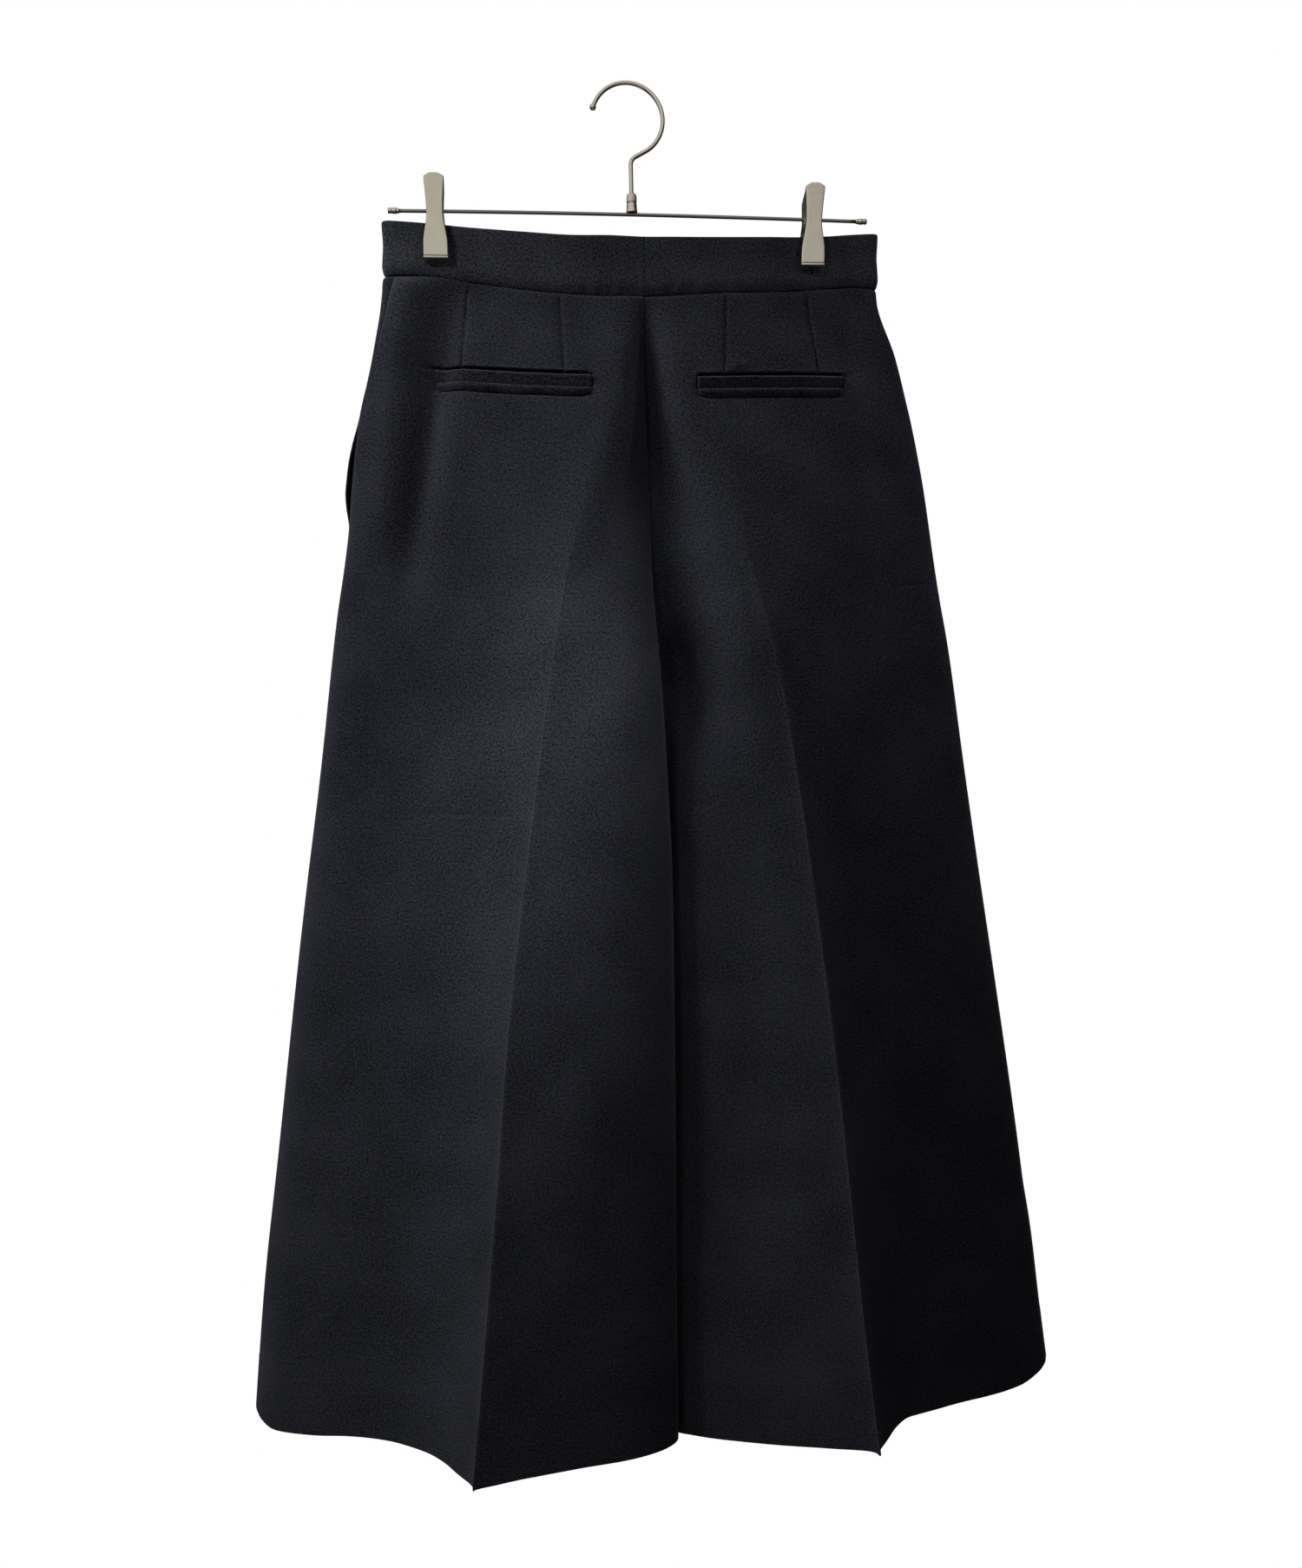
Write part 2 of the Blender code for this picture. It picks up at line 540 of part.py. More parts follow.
def turned(name, profile_points, origin, axis, colour, sides=16):
    """A closed profile of (along, radius) points turned round an axis through the origin."""
    table = np.array(profile_points, float)
    angle = 2 * np.pi * np.arange(sides) / sides
    axis = np.array(axis, float)
    first = unit(np.cross(axis, (0.0, 1.0, 0.0)))
    second = np.cross(axis, first)
    spoke = np.cos(angle)[:, None] * first + np.sin(angle)[:, None] * second
    points = (np.array(origin, float) + table[None, :, :1] * axis
              + table[None, :, 1:] * spoke[:, None, :])
    count = len(table)
    faces = []
    for k in range(sides):
        for r in range(count):
            here, there = k * count, ((k + 1) % sides) * count
            faces.append((here + r, there + r, there + (r + 1) % count, here + (r + 1) % count))
    return solid(name, points.reshape(-1, 3) * MM, faces, colour)


def hook_path():
    """From the ball tip over the top, down the right side, in to the stem and down."""
    centre = np.array((HOOK_CENTRE_X, 0, WIRE_RADIUS - HOOK_RADIUS))
    angle = np.radians(np.linspace(HOOK_TIP_ANGLE, HOOK_END_ANGLE, 26))
    bow = centre + HOOK_RADIUS * np.stack([np.cos(angle), 0 * angle, np.sin(angle)], axis=-1)
    bend = np.array((0.0, 0, -STEM_BEND_DROP))
    t = np.linspace(0, 1, 6)[:, None]
    into = bend + STEM_BEND_ROUND * unit(bow[-1] - bend)
    out = bend + np.array((0, 0, -STEM_BEND_ROUND))
    elbow = (1 - t) ** 2 * into + 2 * t * (1 - t) * bend + t * t * out
    stem = np.array([(0, 0, -drop) for drop in (STEM_MIDDLE_DROP, STEM_END_DROP)])
    return np.concatenate([bow, elbow, stem])


def bar_drop(x):
    return BAR_DROP + BAR_END_SAG * (np.asarray(x) / BAR_HALF) ** 2 + BAR_SLOPE * np.asarray(x)


def build_hook(steel):
    path = hook_path()
    before = path[0] + (path[0] - path[1]) / np.linalg.norm(path[0] - path[1]) \
        * np.linspace(1, 0, 9)[:, None] * 2 * HOOK_BALL_RADIUS
    share = np.linspace(0.03, 0.86, 9)
    ball = HOOK_BALL_RADIUS * np.sqrt(1 - (1 - 2 * share) ** 2)
    ball[-1] = WIRE_RADIUS
    radii = np.concatenate([ball, np.full(len(path) - 1, WIRE_RADIUS)])
    sweep("hook", np.concatenate([before, path[1:]]), radii, steel)


def build_collar(steel):
    top, foot = COLLAR_DROPS
    foot = [(foot - top, AXIS_RADIUS)]
    bore = [(COLLAR_BORE_DEPTH, AXIS_RADIUS), (COLLAR_BORE_DEPTH, COLLAR_BORE),
            (0.0, COLLAR_BORE)]
    turned("collar", list(COLLAR_PROFILE) + foot + bore, (0, 0, -top), (0, 0, -1), steel)


def build_bar(steel):
    x = np.linspace(-BAR_HALF, BAR_HALF, 15)
    sweep("bar", np.stack([x, 0 * x, -bar_drop(x)], axis=-1), BAR_RADIUS, steel)
    for name, sign in (("knob_left", -1), ("knob_right", 1)):
        start = sign * (BAR_HALF + SEAM_GAP)
        rim = [(KNOB_LENGTH - along, radius) for along, radius in KNOB_PROFILE[::-1]]
        end = [(KNOB_LENGTH, AXIS_RADIUS), (0.0, AXIS_RADIUS)]
        origin = (start, 0, -bar_drop(sign * BAR_HALF))
        turned(name, rim + end, origin, (sign, 0, 0), steel, sides=12)


def jaw_points(rows, side, drop, sign):
    table = dict(zip(JAW_COLUMNS, np.array(rows, float).T[:, :, None]))
    across = np.array(JAW_ACROSS)[None, :]
    below = table["below_bar"]
    x = CLIP_CENTRES[side] + CLIP_LEANS[side] * below + table["half_width"] * across
    edge = np.where(np.abs(across) == 1, JAW_EDGE_BEND, 0.0)
    y = table["y"] - sign * edge
    return np.stack(np.broadcast_arrays(x, y, -drop - below), axis=-1)


def ear(name, x, drop, outline, colour):
    """A side wall of a jaw that reaches past the bar, which runs through its hole."""
    count = len(outline)
    vertices = [(x + way * EAR_WALL / 2, y, -drop - below)
                for way in (-1, 1) for y, below in outline]
    faces = [tuple(range(count)), tuple(range(2 * count - 1, count - 1, -1))]
    faces += [(k, (k + 1) % count, count + (k + 1) % count, count + k) for k in range(count)]
    return solid(name, np.array(vertices) * MM, faces, colour)


def helper(thing):
    thing.hide_render = True
    thing.display_type = "WIRE"
    return thing


def boolean(target, other, operation):
    cut = target.modifiers.new(operation.title(), "BOOLEAN")
    cut.operation = operation
    cut.object = other
    cut.solver = "EXACT"


def build_clip(side, plate, steel):
    centre = CLIP_CENTRES[side]
    drop = float(bar_drop(centre))
    line = [(centre + way * EAR_BORE_REACH, 0, -drop) for way in (-1, 0, 1)]
    bore = helper(sweep(f"clip_{side}_bore", line, EAR_BORE, steel, 12))
    for kind, table, sign in (("near", NEAR_JAW, -1), ("far", FAR_JAW, 1)):
        outer = jaw_points(table, side, drop, sign)
        inner = outer - outward(outer, (0, sign, 0)) * PLATE_WALL
        jaw = wall(f"clip_{side}_{kind}_jaw", outer, inner, plate)
        ear_x, outline = EARS[kind]
        for way, place in ((-1, "a"), (1, "b")):
            name = f"clip_{side}_{kind}_ear_{place}"
            wing = helper(ear(name, centre + way * ear_x, drop, outline, plate))
            boolean(jaw, wing, "UNION")
        boolean(jaw, bore, "DIFFERENCE")
    tube = [(-SPRING_HALF, SPRING_OUTER), (SPRING_HALF, SPRING_OUTER),
            (SPRING_HALF, SPRING_INNER), (-SPRING_HALF, SPRING_INNER)]
    turned(f"clip_{side}_spring", tube, (centre, 0, -drop), (1, 0, 0), steel, sides=16)


def main():
    for thing in list(bpy.data.objects):
        bpy.data.objects.remove(thing, do_unlink=True)
    cloth = material("black wool twill", CLOTH_COLOUR, 0.9, 0.0)
    dark = material("black pocket facing", FACING_COLOUR, 0.95, 0.0)
    steel = material("polished nickel wire", STEEL_COLOUR, 0.22, 1.0)
    plate = material("satin nickel plate", PLATE_COLOUR, 0.42, 1.0)
    build_panels(cloth)
    build_waistband(cloth)
    build_welts(cloth)
    build_pocket_facing(dark)
    build_hook(steel)
    build_collar(steel)
    build_bar(steel)
    for side in CLIP_CENTRES:
        build_clip(side, plate, steel)


main()
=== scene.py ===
import bpy
import numpy as np
from mathutils import Matrix


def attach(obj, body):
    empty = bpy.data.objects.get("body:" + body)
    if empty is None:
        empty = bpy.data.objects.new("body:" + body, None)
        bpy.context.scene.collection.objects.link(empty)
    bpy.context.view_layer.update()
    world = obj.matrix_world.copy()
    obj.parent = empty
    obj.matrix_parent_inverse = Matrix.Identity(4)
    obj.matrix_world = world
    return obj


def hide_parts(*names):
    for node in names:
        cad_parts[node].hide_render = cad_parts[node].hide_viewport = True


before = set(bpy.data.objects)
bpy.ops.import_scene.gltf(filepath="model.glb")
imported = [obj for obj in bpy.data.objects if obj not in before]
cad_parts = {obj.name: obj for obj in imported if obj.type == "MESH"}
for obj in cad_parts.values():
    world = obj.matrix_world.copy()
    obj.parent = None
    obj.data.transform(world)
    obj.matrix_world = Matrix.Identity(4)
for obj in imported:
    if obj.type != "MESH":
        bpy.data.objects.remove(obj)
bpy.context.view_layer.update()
print("frame loaded with", len(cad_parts), "nodes")

mm = 0.001
seamGap = 0.06              # between pieces that are sewn together
seamLap = {"across": 0.8, "up": 0.9, "reach": 4.0}      # how far a seam's gap slants through

# Camera: it stands behind the garment, a little to the left and level with its middle.
cameraSet = {"place": (-98.76, -934.33, -453.54), "yaw": 6.3, "down": 2.4, "roll": 1.3,
             "focalPixels": 1504.0, "imageHeight": 1806.0, "sensor": 36.0,
             "clipMetres": (0.05, 50.0)}


def stand(thing, across, up, back, place):
    # A camera or a light goes to a place in metres, and looks away from back.
    matrix = np.identity(4)
    matrix[:3, 0], matrix[:3, 1], matrix[:3, 2], matrix[:3, 3] = across, up, back, place
    thing.matrix_world = Matrix(matrix.tolist())
    bpy.context.scene.collection.objects.link(thing)


def makeCamera():
    # Yaw turns it to the right, down tips it, and roll turns it about its own line of sight.
    yaw, down, roll = np.radians([cameraSet[k] for k in ("yaw", "down", "roll")])
    ahead = np.array([np.sin(yaw) * np.cos(down), np.cos(yaw) * np.cos(down), -np.sin(down)])
    level = np.array([np.cos(yaw), -np.sin(yaw), 0.0])
    over = np.cross(level, ahead)
    right = level * np.cos(roll) - over * np.sin(roll)
    up = level * np.sin(roll) + over * np.cos(roll)
    data = bpy.data.cameras.new("camera")
    data.sensor_width = cameraSet["sensor"]
    data.lens = cameraSet["sensor"] * cameraSet["focalPixels"] / cameraSet["imageHeight"]
    data.clip_start, data.clip_end = cameraSet["clipMetres"]
    camera = bpy.data.objects.new("camera", data)
    stand(camera, right, up, -ahead, np.array(cameraSet["place"]) * mm)
    bpy.context.scene.camera = camera


makeCamera()
print("camera placed")

# Mesh tools.


def unit(v):
    # Vectors shortened or stretched to a length of 1.
    return v / np.maximum(np.linalg.norm(v, axis=-1, keepdims=True), 1e-12)


def ease(x, start, end):
    # 0 before start, 1 after end, and 3s^2 - 2s^3 between.
    s = np.clip((x - start) / (end - start), 0, 1)
    return s * s * (3 - 2 * s)


def between(x, rise, fall):
    # 1 between two soft steps, one up over the span rise and one down over the span fall.
    return ease(x, *rise) * (1 - ease(x, *fall))


def hump(x, row):
    # height * exp(-((x - at) / width)^2), from a row of height, at and width.
    height, at, width = row
    return height * np.exp(-((x - at) / width) ** 2)


def waves(x, rows):
    # Sum of height * sin(rate * x + phase) over the rows.
    return sum(height * np.sin(rate * x + phase) for height, rate, phase in rows)


def blend(one, other, share):
    # Vectors: one where share is 0, other where it is 1.
    share = share[..., None]
    return one * (1 - share) + other * share


def cosineSteps(count):
    # From 0 to 1 in steps that lie closer at both ends: (1 - cos(pi k / count)) / 2.
    return 0.5 - 0.5 * np.cos(np.pi * np.arange(count + 1) / count)


def finer(values, parts):
    # Each step between the values is cut into equal parts.
    steps = len(values) - 1
    return np.interp(np.linspace(0, steps, parts * steps + 1), np.arange(steps + 1), values)


def smooth(x, xs, ys):
    # A table read along a monotone cubic: slopes are harmonic means, so nothing overshoots.
    x, xs, ys = (np.asarray(a, float) for a in (x, xs, ys))
    step = np.diff(xs)
    slope = np.diff(ys) / step
    before, after = slope[:-1], slope[1:]
    weightBefore, weightAfter = 2 * step[1:] + step[:-1], step[1:] + 2 * step[:-1]
    same = before * after > 0
    mean = (weightBefore + weightAfter) / (weightBefore / np.where(same, before, 1.0)
                                           + weightAfter / np.where(same, after, 1.0))
    tangent = np.concatenate([slope[:1], np.where(same, mean, 0.0), slope[-1:]])
    x = np.clip(x, xs[0], xs[-1])
    k = np.clip(np.searchsorted(xs, x) - 1, 0, len(step) - 1)
    h = step[k]
    s = (x - xs[k]) / h
    return (ys[k] * (1 + 2 * s) * (1 - s) ** 2 + tangent[k] * h * s * (1 - s) ** 2
            + ys[k + 1] * s * s * (3 - 2 * s) + tangent[k + 1] * h * s * s * (s - 1))


def column(names, rows, key, at, value):
    # One named column of a table, read where the column key has the value at.
    table = np.array(rows, float)
    return smooth(at, table[:, names.index(key)], table[:, names.index(value)])


def gridFaces(rows, cols, closed=(0, 0), start=0):
    # Quads of a grid of points. A 1 in closed joins the last row, or column, to the first.
    index = start + np.arange(rows * cols).reshape(rows, cols)
    index = np.pad(index, ((0, closed[0]), (0, closed[1])), mode="wrap")
    corners = index[:-1, :-1], index[:-1, 1:], index[1:, 1:], index[1:, :-1]
    return np.stack([c.ravel() for c in corners], axis=1)


def tubeFaces(rows, sides):
    # A tube of rings with a fan at each end. The fans' middles are the last two points.
    k, count = np.arange(sides), rows * sides
    after, last = (k + 1) % sides, count - sides
    near = np.stack([k, np.full(sides, count), after], axis=1)
    far = np.stack([last + k, last + after, np.full(sides, count + 1)], axis=1)
    return [gridFaces(rows, sides, (0, 1)), near, far]


def makePiece(name, points, faces, material, uv=None, sharp=None):
    # Points in millimetres become a mesh. The signed volume says if its faces point inwards.
    points = np.asarray(points, float).reshape(-1, 3) * mm
    volume = sum((points[f[:, 0]] * np.cross(points[f[:, k]], points[f[:, k + 1]])).sum()
                 for f in faces for k in range(1, f.shape[1] - 1))
    if volume < 0:
        faces = [f[:, ::-1] for f in faces]
    mesh = bpy.data.meshes.new(name)
    mesh.from_pydata(points.tolist(), [], [q for f in faces for q in f.tolist()])
    if uv is not None:
        loops = np.empty(len(mesh.loops), np.int32)
        mesh.loops.foreach_get("vertex_index", loops)
        layer = mesh.uv_layers.new(name="cloth")
        layer.data.foreach_set("uv", (np.asarray(uv).reshape(-1, 2) * mm)[loops].ravel())
    mesh.shade_smooth()
    if sharp:
        mesh.set_sharp_from_angle(angle=np.radians(sharp))
    piece = bpy.data.objects.new(name, mesh)
    bpy.context.scene.collection.objects.link(piece)
    mesh.materials.append(material)
    return piece


def shellPiece(name, outer, inner, uv, material):
    # A closed wall between two grids of points, joined by a strip round their rims.
    rows, cols = outer.shape[:2]
    index = np.arange(rows * cols).reshape(rows, cols)
    rim = np.concatenate([index[0, :], index[1:, -1], index[-1, -2::-1], index[-2:0:-1, 0]])
    after, inside = np.roll(rim, -1), rows * cols
    edge = np.stack([after, rim, rim + inside, after + inside], axis=1)
    front = gridFaces(rows, cols)
    back = gridFaces(rows, cols, start=inside)[:, ::-1]
    points = np.concatenate([outer.reshape(-1, 3), inner.reshape(-1, 3)])
    both = np.concatenate([uv.reshape(-1, 2)] * 2)
    return makePiece(name, points, [front, back, edge], material, both)


def gridNormals(points, towards):
    # The cross product of the steps along and across the grid, on the side of `towards`.
    normals = unit(np.cross(np.gradient(points, axis=1), np.gradient(points, axis=0)))
    middle = normals[points.shape[0] // 2, points.shape[1] // 2]
    return normals if (middle * np.asarray(towards)).sum() > 0 else -normals


def distanceAcross(points):
    # Distance along each row of a grid from its first point.
    step = np.linalg.norm(np.diff(points, axis=1), axis=-1)
    return np.concatenate([np.zeros((len(points), 1)), np.cumsum(step, axis=1)], axis=1)


def blurAcross(values, along, reach):
    # A Gaussian mean along each row, by distance.
    cell = np.gradient(along, axis=1)
    weight = np.exp(-(((along[:, :, None] - along[:, None, :]) / reach) ** 2)) * cell[:, None, :]
    return np.einsum("rij,rjk->rik", weight / weight.sum(-1, keepdims=True), values)


def rollIn(distance, radius):
    # How far a quarter-round edge falls back at a distance from the edge.
    s = np.clip(distance / radius, 0, 1)
    return radius * (1 - np.sqrt(1 - (1 - s) ** 2))


def sideName(half):
    return "left" if half == "L" else "right"


def own(piece, slot, *nodes):
    # The piece rides on the part, and stands in for its solids.
    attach(piece, "root")
    if nodes:
        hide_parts(*nodes)
    return piece


# Materials.


def srgb(code):
    # A hex colour as linear red, green, blue and alpha.
    value = np.array([int(code[k:k + 2], 16) for k in (1, 3, 5)]) / 255
    linear = np.where(value <= 0.04045, value / 12.92, ((value + 0.055) / 1.055) ** 2.4)
    return (*linear.tolist(), 1.0)


def addNode(tree, kind, inputs=None, **settings):
    node = tree.nodes.new(kind)
    for name, value in settings.items():
        setattr(node, name, value)
    for name, value in (inputs or {}).items():
        if isinstance(value, bpy.types.NodeSocket):
            tree.links.new(value, node.inputs[name])
        else:
            node.inputs[name].default_value = value
    return node


def newMaterial(name, inputs):
    # A Principled material with its plain inputs set. Its nodes and shader are handed back too.
    material = bpy.data.materials.new(name)
    material.use_nodes = True
    shader = material.node_tree.nodes["Principled BSDF"]
    for label, value in inputs.items():
        shader.inputs[label].default_value = value
    material.diffuse_color = shader.inputs["Base Color"].default_value
    return material, material.node_tree, shader


# A heavy 2/2 twill in worsted wool: black, matt, with a soft fibre bloom at grazing angles.
# Four yarns make one wale, so the wales lie 2 mm apart and lean a little steeper than 45 degrees.
# Real fibres are far finer than the speckle, which is drawn coarse so that it shows from afar.
twill = {
    "warp": 0.67, "weft": 0.75,         # yarn pitch
    "waver": 0.16, "strayPerMm": 0.5,   # how far the yarns stray, and how often
    "relief": 0.16,                     # height of a yarn
    "weftLow": 0.45,                    # height of a weft yarn beside a warp yarn
    "fuzzPerMm": 0.68,                  # speckles of the fibre bloom in a millimetre
    "yarn": 0.4, "wale": 0.4, "fuzz": 2.2,          # shares in the relief
    # The share called hollow darkens the tone where the relief is low: painted shade.
    "grain": 1.5, "hollow": 0.25, "drift": 0.5,     # shares in the tone
    "driftSize": 55.0,                  # size of the faint uneven tone
    "deep": "#111216", "high": "#3d3e45",
    "roughness": 0.82, "specular": 0.02,
    "sheen": 0.1, "sheenRoughness": 0.42, "sheenTint": "#c8ccd6",
}


def twillMaterial(name, look):
    material, tree, shader = newMaterial(name, {
        "Roughness": look["roughness"], "Specular IOR Level": look["specular"],
        "Sheen Weight": look["sheen"], "Sheen Roughness": look["sheenRoughness"],
        "Sheen Tint": srgb(look["sheenTint"])})

    def maths(operation, first, second=None, third=None):
        values = [v for v in (first, second, third) if v is not None]
        return addNode(tree, "ShaderNodeMath", dict(enumerate(values)),
                       operation=operation).outputs[0]

    cloth = addNode(tree, "ShaderNodeUVMap", uv_map="cloth").outputs[0]
    inMm = addNode(tree, "ShaderNodeMapping", {"Vector": cloth, "Scale": (1000, 1000, 1000)})
    stray = addNode(tree, "ShaderNodeTexNoise", {"Vector": inMm.outputs[0], "Detail": 2.0,
                                                 "Scale": look["strayPerMm"]}).outputs["Color"]
    # The noise strays about a quarter to each side of its middle.
    centred = addNode(tree, "ShaderNodeVectorMath", {0: stray, 1: (0.5, 0.5, 0.5)},
                      operation="SUBTRACT").outputs[0]
    moved = addNode(tree, "ShaderNodeVectorMath",
                    {0: centred, 1: (look["waver"] * 4,) * 3, 2: inMm.outputs[0]},
                    operation="MULTIPLY_ADD").outputs[0]
    parts = addNode(tree, "ShaderNodeSeparateXYZ", {0: moved})
    warp = maths("DIVIDE", parts.outputs["X"], look["warp"])
    weft = maths("DIVIDE", parts.outputs["Y"], look["weft"])
    # The warp is on top where (warp number - weft number) is 0 or 1 of each four.
    count = maths("SUBTRACT", maths("FLOOR", warp), maths("FLOOR", weft))
    onTop = maths("LESS_THAN", maths("FLOORED_MODULO", count, 4.0), 1.5)
    warpRound = maths("SINE", maths("MULTIPLY", maths("FRACT", warp), np.pi))
    weftRound = maths("SINE", maths("MULTIPLY", maths("FRACT", weft), np.pi))
    weftLow = maths("MULTIPLY", weftRound, look["weftLow"])
    yarns = addNode(tree, "ShaderNodeMix", {"Factor": onTop, "A": weftLow, "B": warpRound})
    # The wale itself is a soft wave of the same lean, which still shows from far away.
    lean = maths("SUBTRACT", warp, weft)
    wale = maths("SINE", maths("MULTIPLY_ADD", lean, np.pi / 2, -np.pi / 4))
    waleHigh = maths("MULTIPLY_ADD", wale, 0.5, 0.5)
    fuzz = addNode(tree, "ShaderNodeTexNoise", {"Vector": inMm.outputs[0],
                                                "Scale": look["fuzzPerMm"],
                                                "Detail": 2.0, "Roughness": 0.6}).outputs["Fac"]
    height = maths("ADD", maths("MULTIPLY", yarns.outputs[0], look["yarn"]),
                   maths("MULTIPLY_ADD", waleHigh, look["wale"],
                         maths("MULTIPLY", fuzz, look["fuzz"])))
    # Colour: the hollows between yarns are painted darker by the relief's height, as painted shade, and
    # the tone drifts faintly over the cloth.
    patches = addNode(tree, "ShaderNodeTexNoise", {"Vector": inMm.outputs[0],
                                                   "Scale": 1 / look["driftSize"],
                                                   "Detail": 2.0}).outputs["Fac"]
    speck = maths("MULTIPLY_ADD", fuzz, look["grain"], -look["grain"] / 2)
    drift = maths("MULTIPLY_ADD", patches, look["drift"], -look["drift"] / 2)
    tone = maths("ADD", speck, maths("MULTIPLY_ADD", height, look["hollow"], drift))
    mixed = addNode(tree, "ShaderNodeMix", {"Factor": tone, 6: srgb(look["deep"]),
                                            7: srgb(look["high"])}, data_type="RGBA")
    tree.links.new(mixed.outputs[2], shader.inputs["Base Color"])
    bump = addNode(tree, "ShaderNodeBump", {"Height": height, "Strength": 1.0,
                                            "Distance": look["relief"] * mm})
    tree.links.new(bump.outputs[0], shader.inputs["Normal"])
    return material


# Nickel plate on steel. The wire is polished, so it mirrors the room in streaks; the pressed
# clips are satin, with a fine grain along their length. A stretch is the grain's closeness along
# each axis, for a noise in metres.
nickel = {"wire": "#cbc5bd", "wireRoughness": (0.12, 0.22), "wireStretch": (60.0, 60.0, 60.0),
          "bar": "#8b8480", "barRoughness": (0.28, 0.42), "barStretch": (30.0, 60.0, 60.0),
          "plate": "#cfcabd", "plateRoughness": (0.36, 0.5), "plateStretch": (260.0, 260.0, 30.0),
          "wireRelief": 0.01, "barRelief": 0.01, "plateRelief": 0.02,
          "grain": 10.0, "grainBump": 0.35, "smear": 90.0}


def metalMaterial(name, kind):
    # The roughness and a fine bump follow a grain, and broad smears change the roughness.
    roughness, stretch = nickel[kind + "Roughness"], nickel[kind + "Stretch"]
    colour, relief = nickel[kind], nickel[kind + "Relief"]
    material, tree, shader = newMaterial(name, {"Base Color": srgb(colour), "Metallic": 1.0})
    place = addNode(tree, "ShaderNodeTexCoord").outputs["Object"]
    fine = addNode(tree, "ShaderNodeMapping", {"Vector": place, "Scale": stretch})
    grain = addNode(tree, "ShaderNodeTexNoise", {"Vector": fine.outputs[0],
                                                 "Scale": nickel["grain"], "Detail": 3.0}).outputs["Fac"]
    smear = addNode(tree, "ShaderNodeTexNoise", {"Vector": place, "Scale": nickel["smear"],
                                                 "Detail": 2.0}).outputs["Fac"]
    # The two noises add up to between 0.6 and 1.4.
    both = addNode(tree, "ShaderNodeMath", {0: grain, 1: smear}, operation="ADD").outputs[0]
    rough = addNode(tree, "ShaderNodeMapRange", {"Value": both, "From Min": 0.6,
                                                 "From Max": 1.4, "To Min": roughness[0],
                                                 "To Max": roughness[1]}).outputs[0]
    tree.links.new(rough, shader.inputs["Roughness"])
    bump = addNode(tree, "ShaderNodeBump", {"Height": grain, "Strength": nickel["grainBump"],
                                            "Distance": relief * mm})
    tree.links.new(bump.outputs[0], shader.inputs["Normal"])
    return material


cloth = twillMaterial("black worsted wool twill", twill)
# The band is the same twill painted lighter, standing in for the extra light its face catches: painted
# light.
bandClothPaintedLighter = twillMaterial("black wool twill painted lighter for the light on the band", {**twill, "deep": "#16171a",
                                                                    "high": "#46474e"})
# The facing is the same twill painted darker: painted shade for the gape it lies in.
facingClothPaintedDarker = twillMaterial("black twill pocket facing painted darker for shade", {**twill, "deep": "#0e0e10",
                                                        "high": "#26272b", "sheen": 0.15})
barWire = metalMaterial("dull nickel plated bar wire", "bar")
wire = metalMaterial("polished nickel plated wire", "wire")
plate = metalMaterial("satin nickel plated sheet", "plate")
print("materials made")

# The ring of cloth. Its levels: side, crease and centre are across, creaseOut and centreIn are how
# far the crease and the centre seam stand from the middle of the depth, midY is that middle at
# the inseams, and soft is the rounding of the crease to each side.
levelNames = ("drop", "sideL", "creaseL", "centre", "creaseR", "sideR", "creaseOut", "centreIn",
              "midY", "soft")
levels = (
    (95, -172.8, -8, 8.0, 24, 177.4, 8.0, 8.0, 0, 22),
    (145, -175.4, -9, 7.0, 24, 176.0, 9.0, 8.6, 0, 20),
    (190, -183.4, -13, 6.2, 27, 188.8, 20.0, 12.5, 0, 18),
    (235, -194.4, -22, 6.2, 34, 200.4, 31.0, 16.5, 0, 15),
    (280, -200.6, -39, 6.8, 54, 208.8, 40.0, 19.5, 0, 13),
    (310, -203.8, -46, 7.0, 64, 213.2, 44.5, 20.5, 0, 11),
    (340, -208.6, -54, 7.4, 72, 217.4, 48.5, 19.0, 0, 8),
    (365, -213.2, -59, 8.8, 78, 221.2, 51.5, 14.5, 0, 6),
    (388, -216.8, -63, 10.6, 83, 225.2, 54.0, 7.0, -1, 4),
    (402, -218.8, -65, 12.2, 86, 227.4, 55.5, 0.6, -2, 3),
    (480, -229.6, -77, 15.8, 97.5, 237.6, 61.0, 0, -6, 1.6),
    (560, -242.0, -89, 17.6, 107, 248.8, 65.5, 0, -10, 1.2),
    (650, -255.4, -101.5, 16.6, 116.5, 262.2, 70.0, 0, -15, 1.0),
    (750, -269.2, -111.5, 15.0, 125, 276.4, 75.0, 0, -20, 1.0),
    (850, -283.2, -122, 13.2, 133, 289.2, 78.5, 0, -25, 1.0),
    (953, -294.0, -133.4, 11.6, 142.8, 302.6, 82.0, 0, -30, 1.0),
)
ringShape = {
    "hem": 953.0, "hemSideLift": 9.0,                       # the hem rises towards the side seam
    "legGap": 0.14, "legGapDrops": (387, 442), "creaseReach": 0.45,
    "seatSewn": (388, 402), "inseamTurn": (386, 403),       # where the seat ends and the legs begin
    # The side seams swing towards the garment's front on their way down.
    "backset": {"L": 28.0, "R": 17.0}, "backsetStart": 141.0,
    # Drops over which one shape turns into the next.
    "waistToHip": (150, 225), "hipToHem": (330, 860), "seatToLeg": (265, 400),
    # On the back the rise is drawn in between the two halves of the seat: drops and depths.
    "riseDrops": (150, 172, 200, 240, 300, 345, 385, 400), "rise": (0, 4, 9, 11, 11, 8, 2, 0),
}
# On its way down the inner side of a leg takes on these shapes: the half, the greatest share, and
# the drops over which it comes and goes. One that stays goes only past the hem.
legShapes = {
    "valley": ("R", 1.0, (300, 400), (400, 520)), "straight": ("R", 0.9, (560, 900), (1000, 1100)),
    "thigh": ("L", 1.0, (300, 370), (620, 860)),
}
